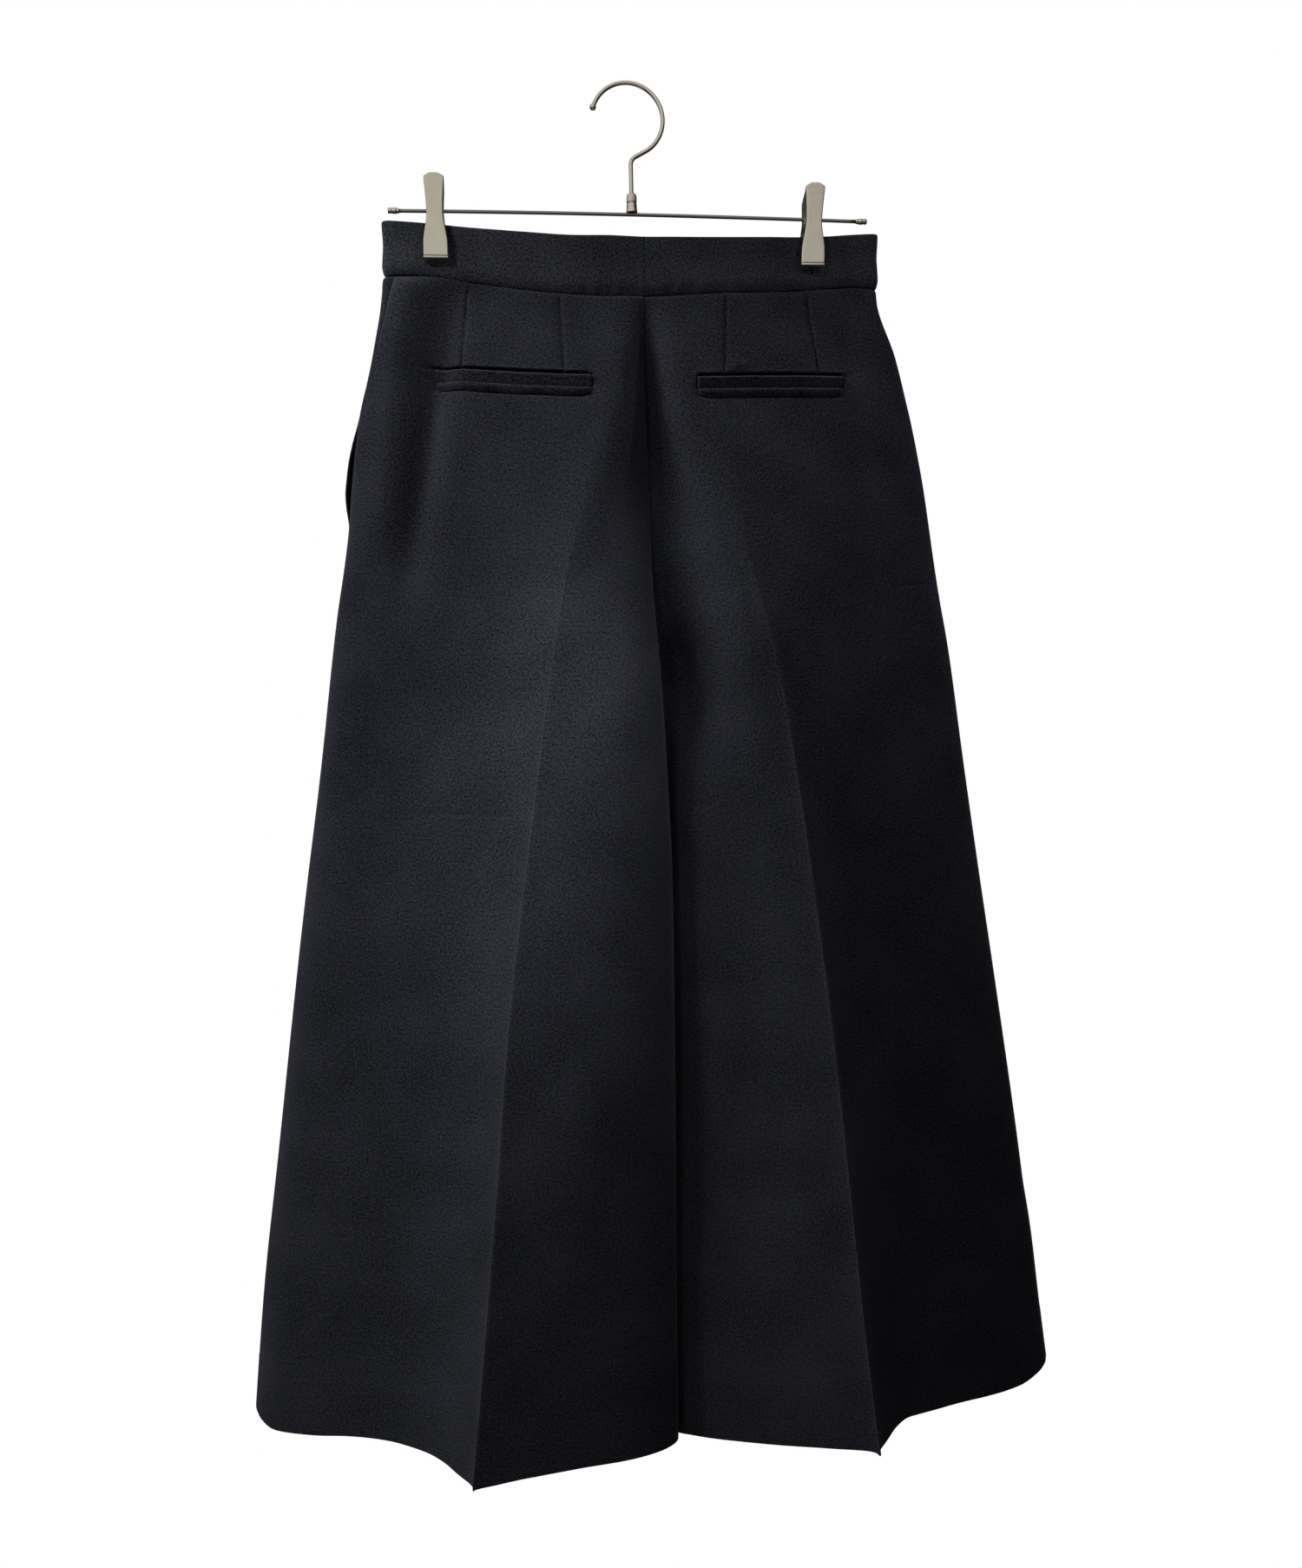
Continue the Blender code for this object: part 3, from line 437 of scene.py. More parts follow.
# Shapes between two places: share of the way, share across, share out (or in).
profiles = {
    "waist": ((0, 0, 0), (0.025, 0.006, 0.36), (0.07, 0.035, 0.50), (0.15, 0.12, 0.44),
              (0.27, 0.24, 0.32), (0.37, 0.35, 0.36), (0.52, 0.52, 0.66), (0.74, 0.74, 0.9),
              (1, 1, 1)),
    "hip": ((0, 0, 0), (0.05, 0.008, 0.12), (0.12, 0.05, 0.26), (0.22, 0.15, 0.38),
            (0.4, 0.36, 0.55), (0.7, 0.68, 0.79), (1, 1, 1)),
    "hem": ((0, 0, 0), (0.08, 0.03, 0.17), (0.17, 0.11, 0.31), (0.3, 0.26, 0.39),
            (0.55, 0.56, 0.475), (0.72, 0.76, 0.59), (0.86, 0.9, 0.755), (1, 1, 1)),
    "seatL": ((0, 0, 0), (0.3, 0.3, 0.1), (0.55, 0.55, 0.26), (0.75, 0.75, 0.48),
              (0.9, 0.9, 0.77), (1, 1, 1)),
    "seatR": ((0, 0, 0), (0.3, 0.3, 0.14), (0.55, 0.55, 0.42), (0.78, 0.78, 0.76),
              (0.92, 0.92, 0.95), (1, 1, 1)),
    "leg": ((0, 0, 0), (0.3, 0.32, 0.18), (0.55, 0.6, 0.34), (0.72, 0.79, 0.46),
            (0.84, 0.92, 0.62), (0.93, 0.985, 0.82), (1, 1, 1)),
    "valley": ((0, 0, 0), (0.25, 0.25, 0.06), (0.45, 0.44, 0.2), (0.62, 0.6, 0.47),
               (0.77, 0.75, 0.77), (0.89, 0.88, 0.94), (1, 1, 1)),
    "straight": ((0, 0, 0), (0.25, 0.26, 0.22), (0.5, 0.52, 0.42), (0.75, 0.78, 0.66),
                 (0.9, 0.935, 0.86), (1, 1, 1)),
    "thigh": ((0, 0, 0), (0.12, 0.12, 0.045), (0.3, 0.3, 0.075), (0.5, 0.5, 0.115),
              (0.66, 0.67, 0.19), (0.79, 0.81, 0.32), (0.88, 0.91, 0.49), (0.95, 0.975, 0.71),
              (1, 1, 1)),
}
# The hem isn't quite level: its extra drop by w.
hemNames = ("w", "L", "R")
hemShift = (
    (0, -6.4, -6.6), (0.1, -5.6, -6.2), (0.17, -3.8, -4.6), (0.26, -4.0, -0.6),
    (0.35, -4.4, 0.6), (0.45, -5.2, 1.1), (0.6, -4.6, 1.0), (0.7, -3.0, -0.4),
    (0.77, -1.9, -2.0), (0.84, 0, -0.6), (0.92, 2.4, 2.4), (1.0, 1.6, 1.4), (1.1, 1.6, -0.4),
    (1.25, 0.4, -0.6), (1.45, 0.7, -0.4), (1.65, 1.8, -0.4), (1.85, 1.7, 0.2), (2, 1.4, 1.2),
)


def level(name, drop):
    # One column of the levels at a drop.
    return column(levelNames, levels, "drop", drop, name)


def profile(name, u):
    # The rows are repeated in reflection past both ends, so the cloth turns without a corner.
    at, across, out = np.array(profiles[name], float).T
    places = np.concatenate([-at[:0:-1], at, 2 - at[-2::-1]])
    across = np.concatenate([across[:0:-1], across, across[-2::-1]])
    out = np.concatenate([-out[:0:-1], out, 2 - out[-2::-1]])
    return np.stack([smooth(u, places, across), smooth(u, places, out)])


def rawRing(half, size, drop):
    # Across and depth of the back before its crease is rounded. size is the size of w.
    shape = ringShape
    sideX, creaseX = level("side" + half, drop), level("crease" + half, drop)
    fallen = np.clip((drop - shape["backsetStart"]) / (shape["hem"] - shape["backsetStart"]), 0, 1)
    sideY, creaseY = shape["backset"][half] * fallen, -level("creaseOut", drop)
    gap = seamGap + (shape["legGap"] - seamGap) * ease(drop, *shape["legGapDrops"])
    centreX = level("centre", drop) + (-gap if half == "L" else gap) / 2
    centreY = level("midY", drop) - np.maximum(level("centreIn", drop), seamGap / 2)
    u = np.clip(size, 0, 1)
    waist, hip, hem = profile("waist", u), profile("hip", u), profile("hem", u)
    upper = waist + (hip - waist) * ease(drop, *shape["waistToHip"])
    across, out = upper + (hem - upper) * ease(drop, *shape["hipToHem"])
    outerX, outerY = sideX + (creaseX - sideX) * across, sideY + (creaseY - sideY) * out
    u = np.clip(size - 1, 0, 1)
    seat, leg = profile("seat" + half, u), profile("leg", u)
    for name, (ofHalf, most, rise, fall) in legShapes.items():
        if ofHalf == half:
            leg = leg + (profile(name, u) - leg) * (most * between(drop, rise, fall))
    across, out = seat + (leg - seat) * ease(drop, *shape["seatToLeg"])
    innerX, innerY = creaseX + (centreX - creaseX) * across, creaseY + (centreY - creaseY) * out
    x, y = np.where(size <= 1, outerX, innerX), np.where(size <= 1, outerY, innerY)
    return x, y, sideX, sideY, centreX


def ring(half, w, drop):
    # Across and depth of the outer face. The crease is a parabola between the ends of its reach,
    # and the front is the back mirrored in the plane through the side seam and the inseam.
    w, drop = np.broadcast_arrays(np.asarray(w, float), np.asarray(drop, float))
    size = np.abs(w)
    soft, limit = level("soft", drop), ringShape["creaseReach"]
    crease = level("crease" + half, drop)
    reachOut = np.minimum(soft / np.abs(crease - level("side" + half, drop)), limit)
    reachIn = np.minimum(soft / np.abs(level("centre", drop) - crease), limit)
    x, y, sideX, sideY, centreX = rawRing(half, size, drop)
    s = 0.5 + 0.5 * np.where(size < 1, (size - 1) / reachOut, (size - 1) / reachIn)
    ends = [rawRing(half, at, drop) for at in (1 - reachOut, np.ones_like(size), 1 + reachIn)]
    near = (s > 0) & (s < 1)
    s = np.clip(s, 0, 1)
    for axis, value in enumerate((x, y)):
        first, corner, last = (e[axis] for e in ends)
        arc = (1 - s) ** 2 * first + 2 * s * (1 - s) * corner + s * s * last
        value[near] = arc[near]
    middle = sideY + (level("midY", drop) - sideY) * (x - sideX) / (centreX - sideX)
    near = np.clip(w - 1, 0, 1)
    near = near ** 2 if half == "L" else near * near * (3 - 2 * near)
    rise = smooth(drop, ringShape["riseDrops"], ringShape["rise"]) * near
    return x, np.where(w < 0, 2 * middle - y, y + rise)


def wAt(half, x, drop):
    # The w on the back at which the ring reaches x, found by halving.
    low, high = np.zeros_like(x), np.full_like(x, 2.0)
    for _ in range(26):
        mid = (low + high) / 2
        before = np.abs(ring(half, mid, drop)[0]) > np.abs(x)
        low, high = np.where(before, mid, low), np.where(before, high, mid)
    return (low + high) / 2


# Drop of the waistband's top edge and of the seam below it, across the garment.
edgeNames = ("x", "top", "seam")
bandEdges = (
    (-176, 98.5, 136.8), (-143, 99.7, 135.8), (-117, 101.8, 139.6), (-78, 105.2, 145.4),
    (-40, 107.4, 148.9), (-20, 107.2, 149.6), (8, 107.9, 149.8), (30, 107.5, 148.6),
    (60, 106.9, 146.2), (98, 105.4, 144.2), (137, 103.4, 140.9), (157, 102.2, 139.8),
    (178, 101.2, 141.2),
)
frontBandDip = 3.0


def bandEdge(name, x, w):
    # The edge's drop across the garment. On the front the top edge dips towards the centre.
    drop = column(edgeNames, bandEdges, "x", x, name)
    return drop + (frontBandDip * ease(-w, 0.2, 2.0) if name == "top" else 0.0)


def hemDrop(half, w):
    # The hem rises towards the side seam by (1 - |w|)^1.3 of its lift, and shifts by its table.
    away = 1 - np.clip(np.abs(w), 0, 1)
    shift = column(hemNames, hemShift, "w", np.abs(w), half)
    return ringShape["hem"] - ringShape["hemSideLift"] * away ** 1.3 + shift


# Double welt pockets on the back: the line of the upper welt's top edge.
weltNames = ("half", "xA", "dropA", "xB", "dropB", "sag")
weltRows = (("L", -142.0, 198.4, -32.5, 207.0, 1.3), ("R", 40.5, 208.0, 148.6, 203.4, 0.0))
# The panel round them: each slit or swell is a hump, by the distance below that edge or in from
# the nearer end. A span is where it comes or goes.
pocket = {
    "mouth": (3.6, -0.6, 0.9), "mouthEnds": (-0.5, 0.9),    # slit over the upper welt
    "slit": (1.2, 0.15, 0.5), "slitTop": (-0.4, 0.4), "slitFoot": (8.7, 9.7),   # at both its ends
    "bed": 0.9, "bedTop": (-0.3, 0.4), "bedFoot": (15.2, 16.1),     # the welts lie in a sunk place
    "bedEnds": (-0.75, 0.0),
    "lip": (0.3, -2.4, 1.5), "lipWaves": ((0.35, 0.13, 1.0), (0.2, 0.31, 0.0)),     # over the slit
    "foot": (1.7, 15.7, 1.0), "footEnds": (1, 9),
    # How thick the mouth is drawn: least, more than that away from the ends, and its unevenness.
    "thick": (0.62, 0.38), "thickEnds": (4, 26), "thickWaves": ((0.12, 0.19, 0.0),),
    "hollow": (68.0, 6.5, -1.9, 1.5, 1.1),                  # at x, wide, above, high, deep
}


def belowWelt(row, x, drop):
    # Distance below the upper welt's top edge, and distance in from its nearer end.
    line = dict(zip(weltNames, row))
    share = (x - line["xA"]) / (line["xB"] - line["xA"])
    sag = line["sag"] * 4 * share * (1 - share)
    below = drop - line["dropA"] - (line["dropB"] - line["dropA"]) * share - sag
    return below, np.minimum(x - line["xA"], line["xB"] - x)


def pocketHeight(half, x, drop):
    # The panel round the welts: slits, a sunk bed and swells, each a hump or a soft step. Waves
    # vary them along the pocket.
    total = np.zeros(np.broadcast(x, drop).shape)
    for row in weltRows:
        if row[0] != half:
            continue
        below, inside = belowWelt(row, x, drop)
        within = ease(inside, *pocket["mouthEnds"])
        least, more = pocket["thick"]
        thick = least + more * ease(inside, *pocket["thickEnds"]) + waves(x, pocket["thickWaves"])
        total -= hump(below, pocket["mouth"]) * within * thick
        total -= hump(inside, pocket["slit"]) * between(below, pocket["slitTop"],
                                                        pocket["slitFoot"])
        total -= (pocket["bed"] * ease(inside, *pocket["bedEnds"])
                  * between(below, pocket["bedTop"], pocket["bedFoot"]))
        total += hump(below, pocket["lip"]) * (1 + waves(x, pocket["lipWaves"])) * within
        total -= hump(below, pocket["foot"]) * ease(inside, *pocket["footEnds"])
        if half == "R":
            at, wide, above, high, deep = pocket["hollow"]
            total -= deep * np.exp(-((x - at) / wide) ** 2 - ((below - above) / high) ** 2)
    return total


# Panels. Each fold is a soft crease along a curved line, from A to B in the view of its own face:
# bend is how far the line bows to its right, width its spread to each side, height its rise
# (a trough is below 0) and sharp goes from 0, round, to 1, pinched.
foldNames = ("xA", "dropA", "xB", "dropB", "bend", "width", "height", "sharp")
foldEnds = ((-0.12, 0.3), (0.7, 1.12))      # shares of the way over which a fold comes and goes
folds = {
    "Lback": (
        (-125, 138, -161, 352, -3, 10.5, -5.8, 0.0), (-152, 104, -184, 352, -3, 13, 5.0, 0.0),
        (-120, 205, -131, 330, -3, 12, 1.0, 0.0), (-30, 150, -6, 250, 4, 7, 0.9, 0.1),
        (-70, 215, -54, 330, -4, 14, 0.8, 0.0),
        (-182, 509.6, -100, 510.3, 1.5, 1.3, -0.24, 0.4),
        (-249, 697, -214, 695.4, -1, 1.2, -0.22, 0.4),
        (-60, 420, -52, 640, 10, 24, 1.5, 0.0), (-240, 620, -262, 930, 4, 17, -0.9, 0.0),
        (-30, 500, -10, 900, -4, 12, -0.8, 0.0), (-205, 470, -231, 880, -7, 20, 0.9, 0.0),
        (-160, 560, -178, 920, 5, 22, -0.7, 0.0),
    ),
    "Rback": (
        (155, 140, 166, 330, -6, 12, -1.6, 0.0), (186, 160, 207, 330, 0, 9, 0.9, 0.0),
        (277, 816.5, 185, 938.0, 0, 26, 5.0, 0.8),
        (66, 199, 78, 199.6, 0.6, 2.6, 0.7, 0.0), (178, 356.6, 214, 352.8, 0.7, 0.9, -0.5, 0.6),
        (196, 339.6, 212, 338, 0.4, 0.8, -0.3, 0.5), (190, 362, 213, 359, 0.3, 1.6, 0.28, 0.2),
        (135, 316.9, 170, 323.2, 0.5, 1.0, -0.16, 0.4), (120, 460, 158, 900, 8, 20, -0.9, 0.0),
        (190, 430, 228, 820, -5, 22, 1.0, 0.0), (60, 480, 76, 880, 5, 18, -0.7, 0.0),
        (234, 600, 262, 900, 3, 14, -0.8, 0.0),
    ),
    "Lfront": (
        (-134, 130, -148, 330, 5, 13, -2.2, 0.0), (-60, 150, -30, 300, 6, 10, 1.1, 0.0),
        (-20, 160, 1, 260, 3, 6, -0.8, 0.1), (-170, 330, -205, 780, -8, 22, 1.2, 0.0),
        (-210, 560, -240, 900, 5, 18, -0.9, 0.0), (-50, 440, -40, 860, 8, 20, -1.0, 0.0),
        (-120, 300, -150, 560, 4, 16, -0.8, 0.0), (-196, 402, -150, 406, 1, 1.3, -0.22, 0.4),
    ),
    "Rfront": (
        (128, 130, 150, 340, -5, 13, -2.0, 0.0), (64, 150, 34, 300, -6, 10, 1.0, 0.0),
        (28, 160, 12, 260, -3, 6, -0.8, 0.1), (176, 340, 214, 800, 7, 22, 1.1, 0.0),
        (214, 580, 250, 910, -4, 16, -0.9, 0.0), (58, 450, 62, 850, -6, 20, -0.9, 0.0),
        (130, 300, 160, 600, -5, 18, -0.7, 0.0), (168, 620, 226, 613, 1, 1.3, -0.22, 0.4),
    ),
}
# Darts: sewn grooves on the back from the waistband down to the pockets.
dartNames = ("xA", "dropA", "xB", "dropB", "side")      # side: the way the spare cloth is pressed
darts = {
    "L": ((-116.2, 142, -123.1, 201.5, 1), (-53.5, 147, -51.8, 204.5, 1)),
    "R": ((65.2, 147, 60.3, 205, -1), (123.9, 143, 130.5, 204.6, -1)),
}
panels = {
    "wall": 1.7, "ridgeShare": 0.3,     # the inner face follows a trough wholly, a ridge in part
    "topRound": 1.6, "topReach": 2.2, "hemRound": 0.84, "seamRound": 0.38, "topGap": 0.06,
    "sideTurn": 9.0, "centreTurn": 5.0,         # the wall turns straight in towards its edges
    "innerBlur": 3.2, "leastLean": 0.62,
    "fadeTop": 5.0, "fadeSeam": 2.5,            # the folds fade out at the seams
    # The grid: numbers of columns, offsets and spans of w, and spans of drop with their steps.
    "outerColumns": 54, "innerColumns": 42, "leastColumn": 0.0006,
    "creaseColumns": (-0.007, -0.0045, -0.0025, -0.001, 0.001, 0.003, 0.0055, 0.009),
    "dartColumns": {"L": ((0.303, 0.378, 28), (0.700, 0.778, 28)),
                    "R": ((0.728, 0.806, 28), (0.368, 0.430, 24))},
    "weltColumns": (-1.2, -0.7, -0.35, 0, 0.35, 0.7, 1.1),      # from the welts' ends
    "weltColumnDrop": 210.0, "weltSeamDrop": 215.0, "sideToCrease": 160.0, "nudgeColumns": 0.12,
    "rowTop": 145.0, "rowStep": 5.5, "leastRow": 0.2, "edgeRows": (0.25, 0.6, 1.1, 1.8),
    "turnRows": (-1.8, 1.8, 6), "thinFold": 2.0, "thinStep": 0.7, "thinMargin": 3.0,
    "weltRows": ((193.5, 216.0, 0.42), (216.0, 231.0, 0.7)),
    # A dart is a groove in cloth that sinks. A ply is how far the cloth under the face shows
    # through: the dart's spare cloth, the turned hem and the seam allowance.
    "dartDepth": 1.7, "dartRound": 0.7, "dartPower": 1.5, "dartFoot": (1.0, 1.06),
    "dartSink": (0.15, 0.0, 2.2), "dartPly": 0.22, "dartPlySpans": ((0, 0.8), (7.0, 9.0)),
    "hemTurn": 39.0, "hemPly": 0.16, "hemPlyStep": 1.2,
    "allowancePly": 0.26, "allowanceEdge": (12.2, 14.2),
    # The pressed crease stands out a little more than the ring's.
    "pinch": 0.55, "pinchWidth": 1.5, "pinchPower": 1.2, "pinchDrops": (300, 390),
    "flatSize": {"Lback": (0.365, 0.855), "Rback": (0.350, 0.855),
                 "Lfront": (0.365, 0.855), "Rfront": (0.350, 0.855)},
}
# The side pocket in the left seam gapes: its front edge stands out sideways.
gape = {"drops": (225, 236, 250, 266, 282, 295, 306, 314),
        "out": (0, 0.9, 3.0, 4.5, 4.8, 3.2, 0.7, 0), "reach": 0.22}
# Below the crotch both inseams bow to the left, so that no light shows between the legs.
legBow = {"out": 2.8, "reach": 7.0, "drops": (384, 404), "columns": (1.5, 1.8)}
# Where the side seam lies, as w: it starts on the back at the top left.
sideSeam = {"drops": (138, 160, 200, 240, 953), "L": (0.10, 0.062, 0.045, 0.0, 0.0),
            "R": (-0.02, -0.02, -0.02, -0.02, 0.0)}


def alongLine(names, row, x, drop):
    # Share of the way from A to B, and the distance to the right of the line (up is ahead).
    line = dict(zip(names, row))
    runX, runDrop = line["xB"] - line["xA"], line["dropB"] - line["dropA"]
    length = np.hypot(runX, runDrop)
    share = ((x - line["xA"]) * runX + (drop - line["dropA"]) * runDrop) / length ** 2
    side = ((x - line["xA"]) * runDrop - (drop - line["dropA"]) * runX) / length
    return line, share, side


def foldHeight(part, x, drop):
    # Sum over the folds of height * exp(-(distance / width) ^ power), eased at both ends.
    total = np.zeros(np.broadcast(x, drop).shape)
    for row in folds[part]:
        line, share, side = alongLine(foldNames, row, x, drop)
        side = side - line["bend"] * 4 * share * (1 - share)
        power = 2 - line["sharp"]
        total += (line["height"] * between(share, *foldEnds)
                  * np.exp(-np.abs(side / line["width"]) ** power))
    return total


def dartHeight(half, x, drop):
    # A sewn groove, the cloth that sinks beside it, and the spare cloth pressed to one side.
    total = np.zeros(np.broadcast(x, drop).shape)
    for row in darts[half]:
        line, share, side = alongLine(dartNames, row, x, drop)
        inside = 1 - ease(share, *panels["dartFoot"])
        groove = np.exp(-np.abs(side / panels["dartRound"]) ** panels["dartPower"])
        spare = panels["dartPly"] * between(side * line["side"], *panels["dartPlySpans"])
        total += inside * (spare - panels["dartDepth"] * groove - hump(side, panels["dartSink"]))
    return total


def columnPlaces(half, face):
    # Cosine steps, closer at the seams and the crease, with fine ones at the crease, the darts
    # and the welts' ends.
    places = [cosineSteps(panels["outerColumns"]), 1 + cosineSteps(panels["innerColumns"]),
              1 + np.array(panels["creaseColumns"])]
    if face == "back":
        places += [np.linspace(*span) for span in panels["dartColumns"][half]]
        start = float(smooth(panels["weltSeamDrop"], sideSeam["drops"], sideSeam[half]))
        xA, xB = next((row[1], row[3]) for row in weltRows if row[0] == half)
        ends = wAt(half, np.array([xA, xB]), np.full(2, panels["weltColumnDrop"]))
        offsets = np.array(panels["weltColumns"]) * (ends[1] - ends[0]) / abs(xA - xB)
        places += [(end + offsets - start) / (1 - start) for end in ends]
    merged = np.sort(np.concatenate(places))
    keep = np.concatenate([[True], np.diff(merged) > panels["leastColumn"]])
    keep[np.abs(merged - 1) < 1e-9] = True
    merged = merged[keep]
    merged[-1] = 2.0
    return merged


def rowPlaces(part):
    # Even rows from the waist to the hem, with finer ones at the edges, welts and wrinkles.
    top, hem = panels["rowTop"], ringShape["hem"]
    turn = hem - panels["hemTurn"]
    edge = np.array(panels["edgeRows"])
    places = [np.arange(top, hem, panels["rowStep"]), top + edge, hem - edge, [hem],
              turn + np.linspace(*panels["turnRows"])]
    if part.endswith("back"):
        places += [np.arange(*span) for span in panels["weltRows"]]
    for row in folds[part]:
        fold = dict(zip(foldNames, row))
        if fold["width"] < panels["thinFold"]:      # thin wrinkles that lie across
            spread = abs(fold["dropA"] - fold["dropB"]) / 2 + panels["thinMargin"]
            middle = (fold["dropA"] + fold["dropB"]) / 2
            places.append(middle + np.arange(-spread, spread, panels["thinStep"]))
    merged = np.unique(np.round(np.concatenate(places), 3))
    return merged[np.concatenate([[True], np.diff(merged) > panels["leastRow"]])]


def panelSurface(half, face):
    # The ring, read across from the side seam to the centre and down from the band to the hem.
    part = half + face
    base, nominal = columnPlaces(half, face), rowPlaces(part)[:, None]
    seam = smooth(nominal, sideSeam["drops"], sideSeam[half])
    gapShare = seamGap / 2 / panels["sideToCrease"]
    if face == "back":
        start = seam + gapShare
        w = np.where(base <= 1, start + (1 - start) * base, base)
    else:
        start = seam - gapShare
        w = np.where(base <= 1, start - (1 + start) * base, -base)
    x, _ = ring(half, w, nominal)
    top = bandEdge("seam", x[:1], w[:1]) + panels["topGap"]
    share = (nominal - nominal[0]) / (nominal[-1] - nominal[0])
    drop = top + (hemDrop(half, w) - top) * share
    x, y = ring(half, w, drop)
    if part == "Lfront":
        x = x - smooth(drop, gape["drops"], gape["out"]) * (1 - ease(-w, 0.0, gape["reach"]))
    near = np.exp(-((y - level("midY", drop)) / legBow["reach"]) ** 2) * ease(base, *legBow["columns"])
    x = x - legBow["out"] * ease(drop, *legBow["drops"]) * near
    nudge = seamGap / 2 * (1 - ease(base, 0.0, panels["nudgeColumns"]))
    y = y + (nudge if face == "front" else -nudge)
    return base, drop, np.stack([x, y, -drop], axis=-1)


def seamNormals(half, drop):
    # Outward normals at the side seam, the same for both panels that meet there.
    w, step = smooth(drop, sideSeam["drops"], sideSeam[half]), 0.01
    ahead = np.stack(ring(half, w + step, drop), axis=-1)
    behind = np.stack(ring(half, w - step, drop), axis=-1)
    along = unit(ahead - behind)
    normal = np.stack([along[..., 1], -along[..., 0], 0 * drop], axis=-1)
    return normal if half == "L" else -normal


def panelNormals(half, face, points):
    # Outward normals, the way into the wall reversed, and the distance across.
    outward = np.array((0.0, -1.0 if face == "back" else 1.0, 0.0))
    drop, along = -points[..., 2], distanceAcross(points)
    fromCentre = along[:, -1:] - along
    normals = gridNormals(points, outward)
    normals = unit(blend(normals, seamNormals(half, drop[:, :1]),
                         1 - ease(along, 0.0, panels["sideTurn"])))
    # Along the inseam the wall goes straight in from the gap between the legs.
    inseam = np.array((1.0 if half == "L" else -1.0, 0.0, 0.0))
    leg = ease(drop, *ringShape["inseamTurn"])
    centre = 1 - ease(fromCentre, 0.0, panels["centreTurn"])
    normals = unit(blend(normals, inseam, leg * centre))
    # Inside, the wall turns the crease on a wider curve, so that it doesn't cross itself.
    calm = unit(blurAcross(normals, along, panels["innerBlur"]))
    calm = unit(blend(normals, calm, ease(np.minimum(along, fromCentre), 0.0, panels["centreTurn"])))
    calm = calm / np.maximum((calm * normals).sum(-1, keepdims=True), panels["leastLean"])
    # At the centre seam it goes straight in, so the gap doesn't open behind the seam.
    return normals, blend(calm, outward, (1 - leg) * centre), along


def panelLift(half, face, points, along, fromCrease):
    # How far the folds, seams, pockets and plies raise the outer face, and the distance to the hem.
    x, drop = points[..., 0], -points[..., 2]
    lift = foldHeight(half + face, x, drop)
    if face == "back":
        lift = lift + dartHeight(half, x, drop) + pocketHeight(half, x, drop)
    press = ease(drop, *panels["pinchDrops"])
    pinch = np.exp(-np.abs(fromCrease / panels["pinchWidth"]) ** panels["pinchPower"])
    below = -points[-1:, :, 2] - drop
    hemPly = 1 - ease(below, panels["hemTurn"] - panels["hemPlyStep"], panels["hemTurn"])
    allowance = 1 - ease(along, *panels["allowanceEdge"])
    return (lift + panels["pinch"] * press * pinch + panels["hemPly"] * hemPly
            + panels["allowancePly"] * allowance), below


def lapped(fromCentre, sewn, fromSeam):
    # The inner wall moves a little to the left at the centre and up at the waist, on both sides
    # of the gap, so that no light shows through the seam.
    fromCentre, fromSeam = np.broadcast_arrays(fromCentre, fromSeam)
    left = -seamLap["across"] * sewn * (1 - ease(fromCentre, 0, seamLap["reach"]))
    up = seamLap["up"] * (1 - ease(fromSeam, 0, seamLap["reach"]))
    return np.stack([left, np.zeros_like(up), up], axis=-1)


def makePanel(half, face):
    # Outer face: surface + normal * (lift - rounding of the edges). Inner face: surface - wall.
    base, drop, points = panelSurface(half, face)
    normals, calm, along = panelNormals(half, face, points)
    fromCrease = along - along[:, [int(np.argmin(np.abs(base - 1)))]]
    fromTop, fromCentre = drop - drop[:1], along[:, -1:] - along
    lift, below = panelLift(half, face, points, along, fromCrease)
    lift = lift * (ease(fromTop, 0, panels["fadeTop"]) * ease(along, 0, panels["fadeSeam"])
                   * ease(fromCentre, 0, panels["fadeSeam"]))
    topRoll = rollIn(fromTop * panels["topRound"] / panels["topReach"], panels["topRound"])
    hemRoll = rollIn(below, panels["hemRound"])
    seamRoll = rollIn(np.minimum(along, fromCentre), panels["seamRound"])
    roll = np.max([topRoll, hemRoll, seamRoll], axis=0)
    outer = points + normals * (lift - roll)[..., None]
    follow = lift * np.where(lift < 0, 1.0, panels["ridgeShare"])
    inner = points - calm * (panels["wall"] - hemRoll - follow)[..., None]
    inner = inner + lapped(fromCentre, 1 - ease(drop, *ringShape["seatSewn"]), fromTop)
    sign = (1 if half == "L" else -1) * (1 if face == "back" else -1)
    uv = np.stack([fromCrease * sign, -drop], axis=-1)
    piece = shellPiece(face + "Panel" + sideName(half).title(), outer, inner, uv, cloth)
    return own(piece, "black_wool_twill", f"{face}_panel_{sideName(half)}")


panelPieces = {half + face: makePanel(half, face) for half in "LR" for face in ("back", "front")}
print("panels made:", ", ".join(f"{p.name} {len(p.data.polygons)}" for p in panelPieces.values()))

# Waistband: a folded and interlined band in two halves, joined at the centre back.
waistband = {
    "wall": 3.0, "proud": 1.25, "topRound": 1.35, "seamRound": 2.6, "seamReach": 3.1,
    "endRound": 0.5, "hollow": (0.85, 0.42, 0.26), "tuck": (1.4, 8.0),
    "planDrop": 125.0, "shapeDrop": 118.0, "follows": 0.35, "frontMirror": (-0.93, 9.0),
    "fadeEnds": (0, 6), "fadeTop": (0, 6), "fadeSeam": (-0.5, 1.5),     # the dimples fade out
    "rows": 30, "outerColumns": 90, "crowding": 1.08, "innerColumns": 16, "flat": (0.366, 0.04),
}
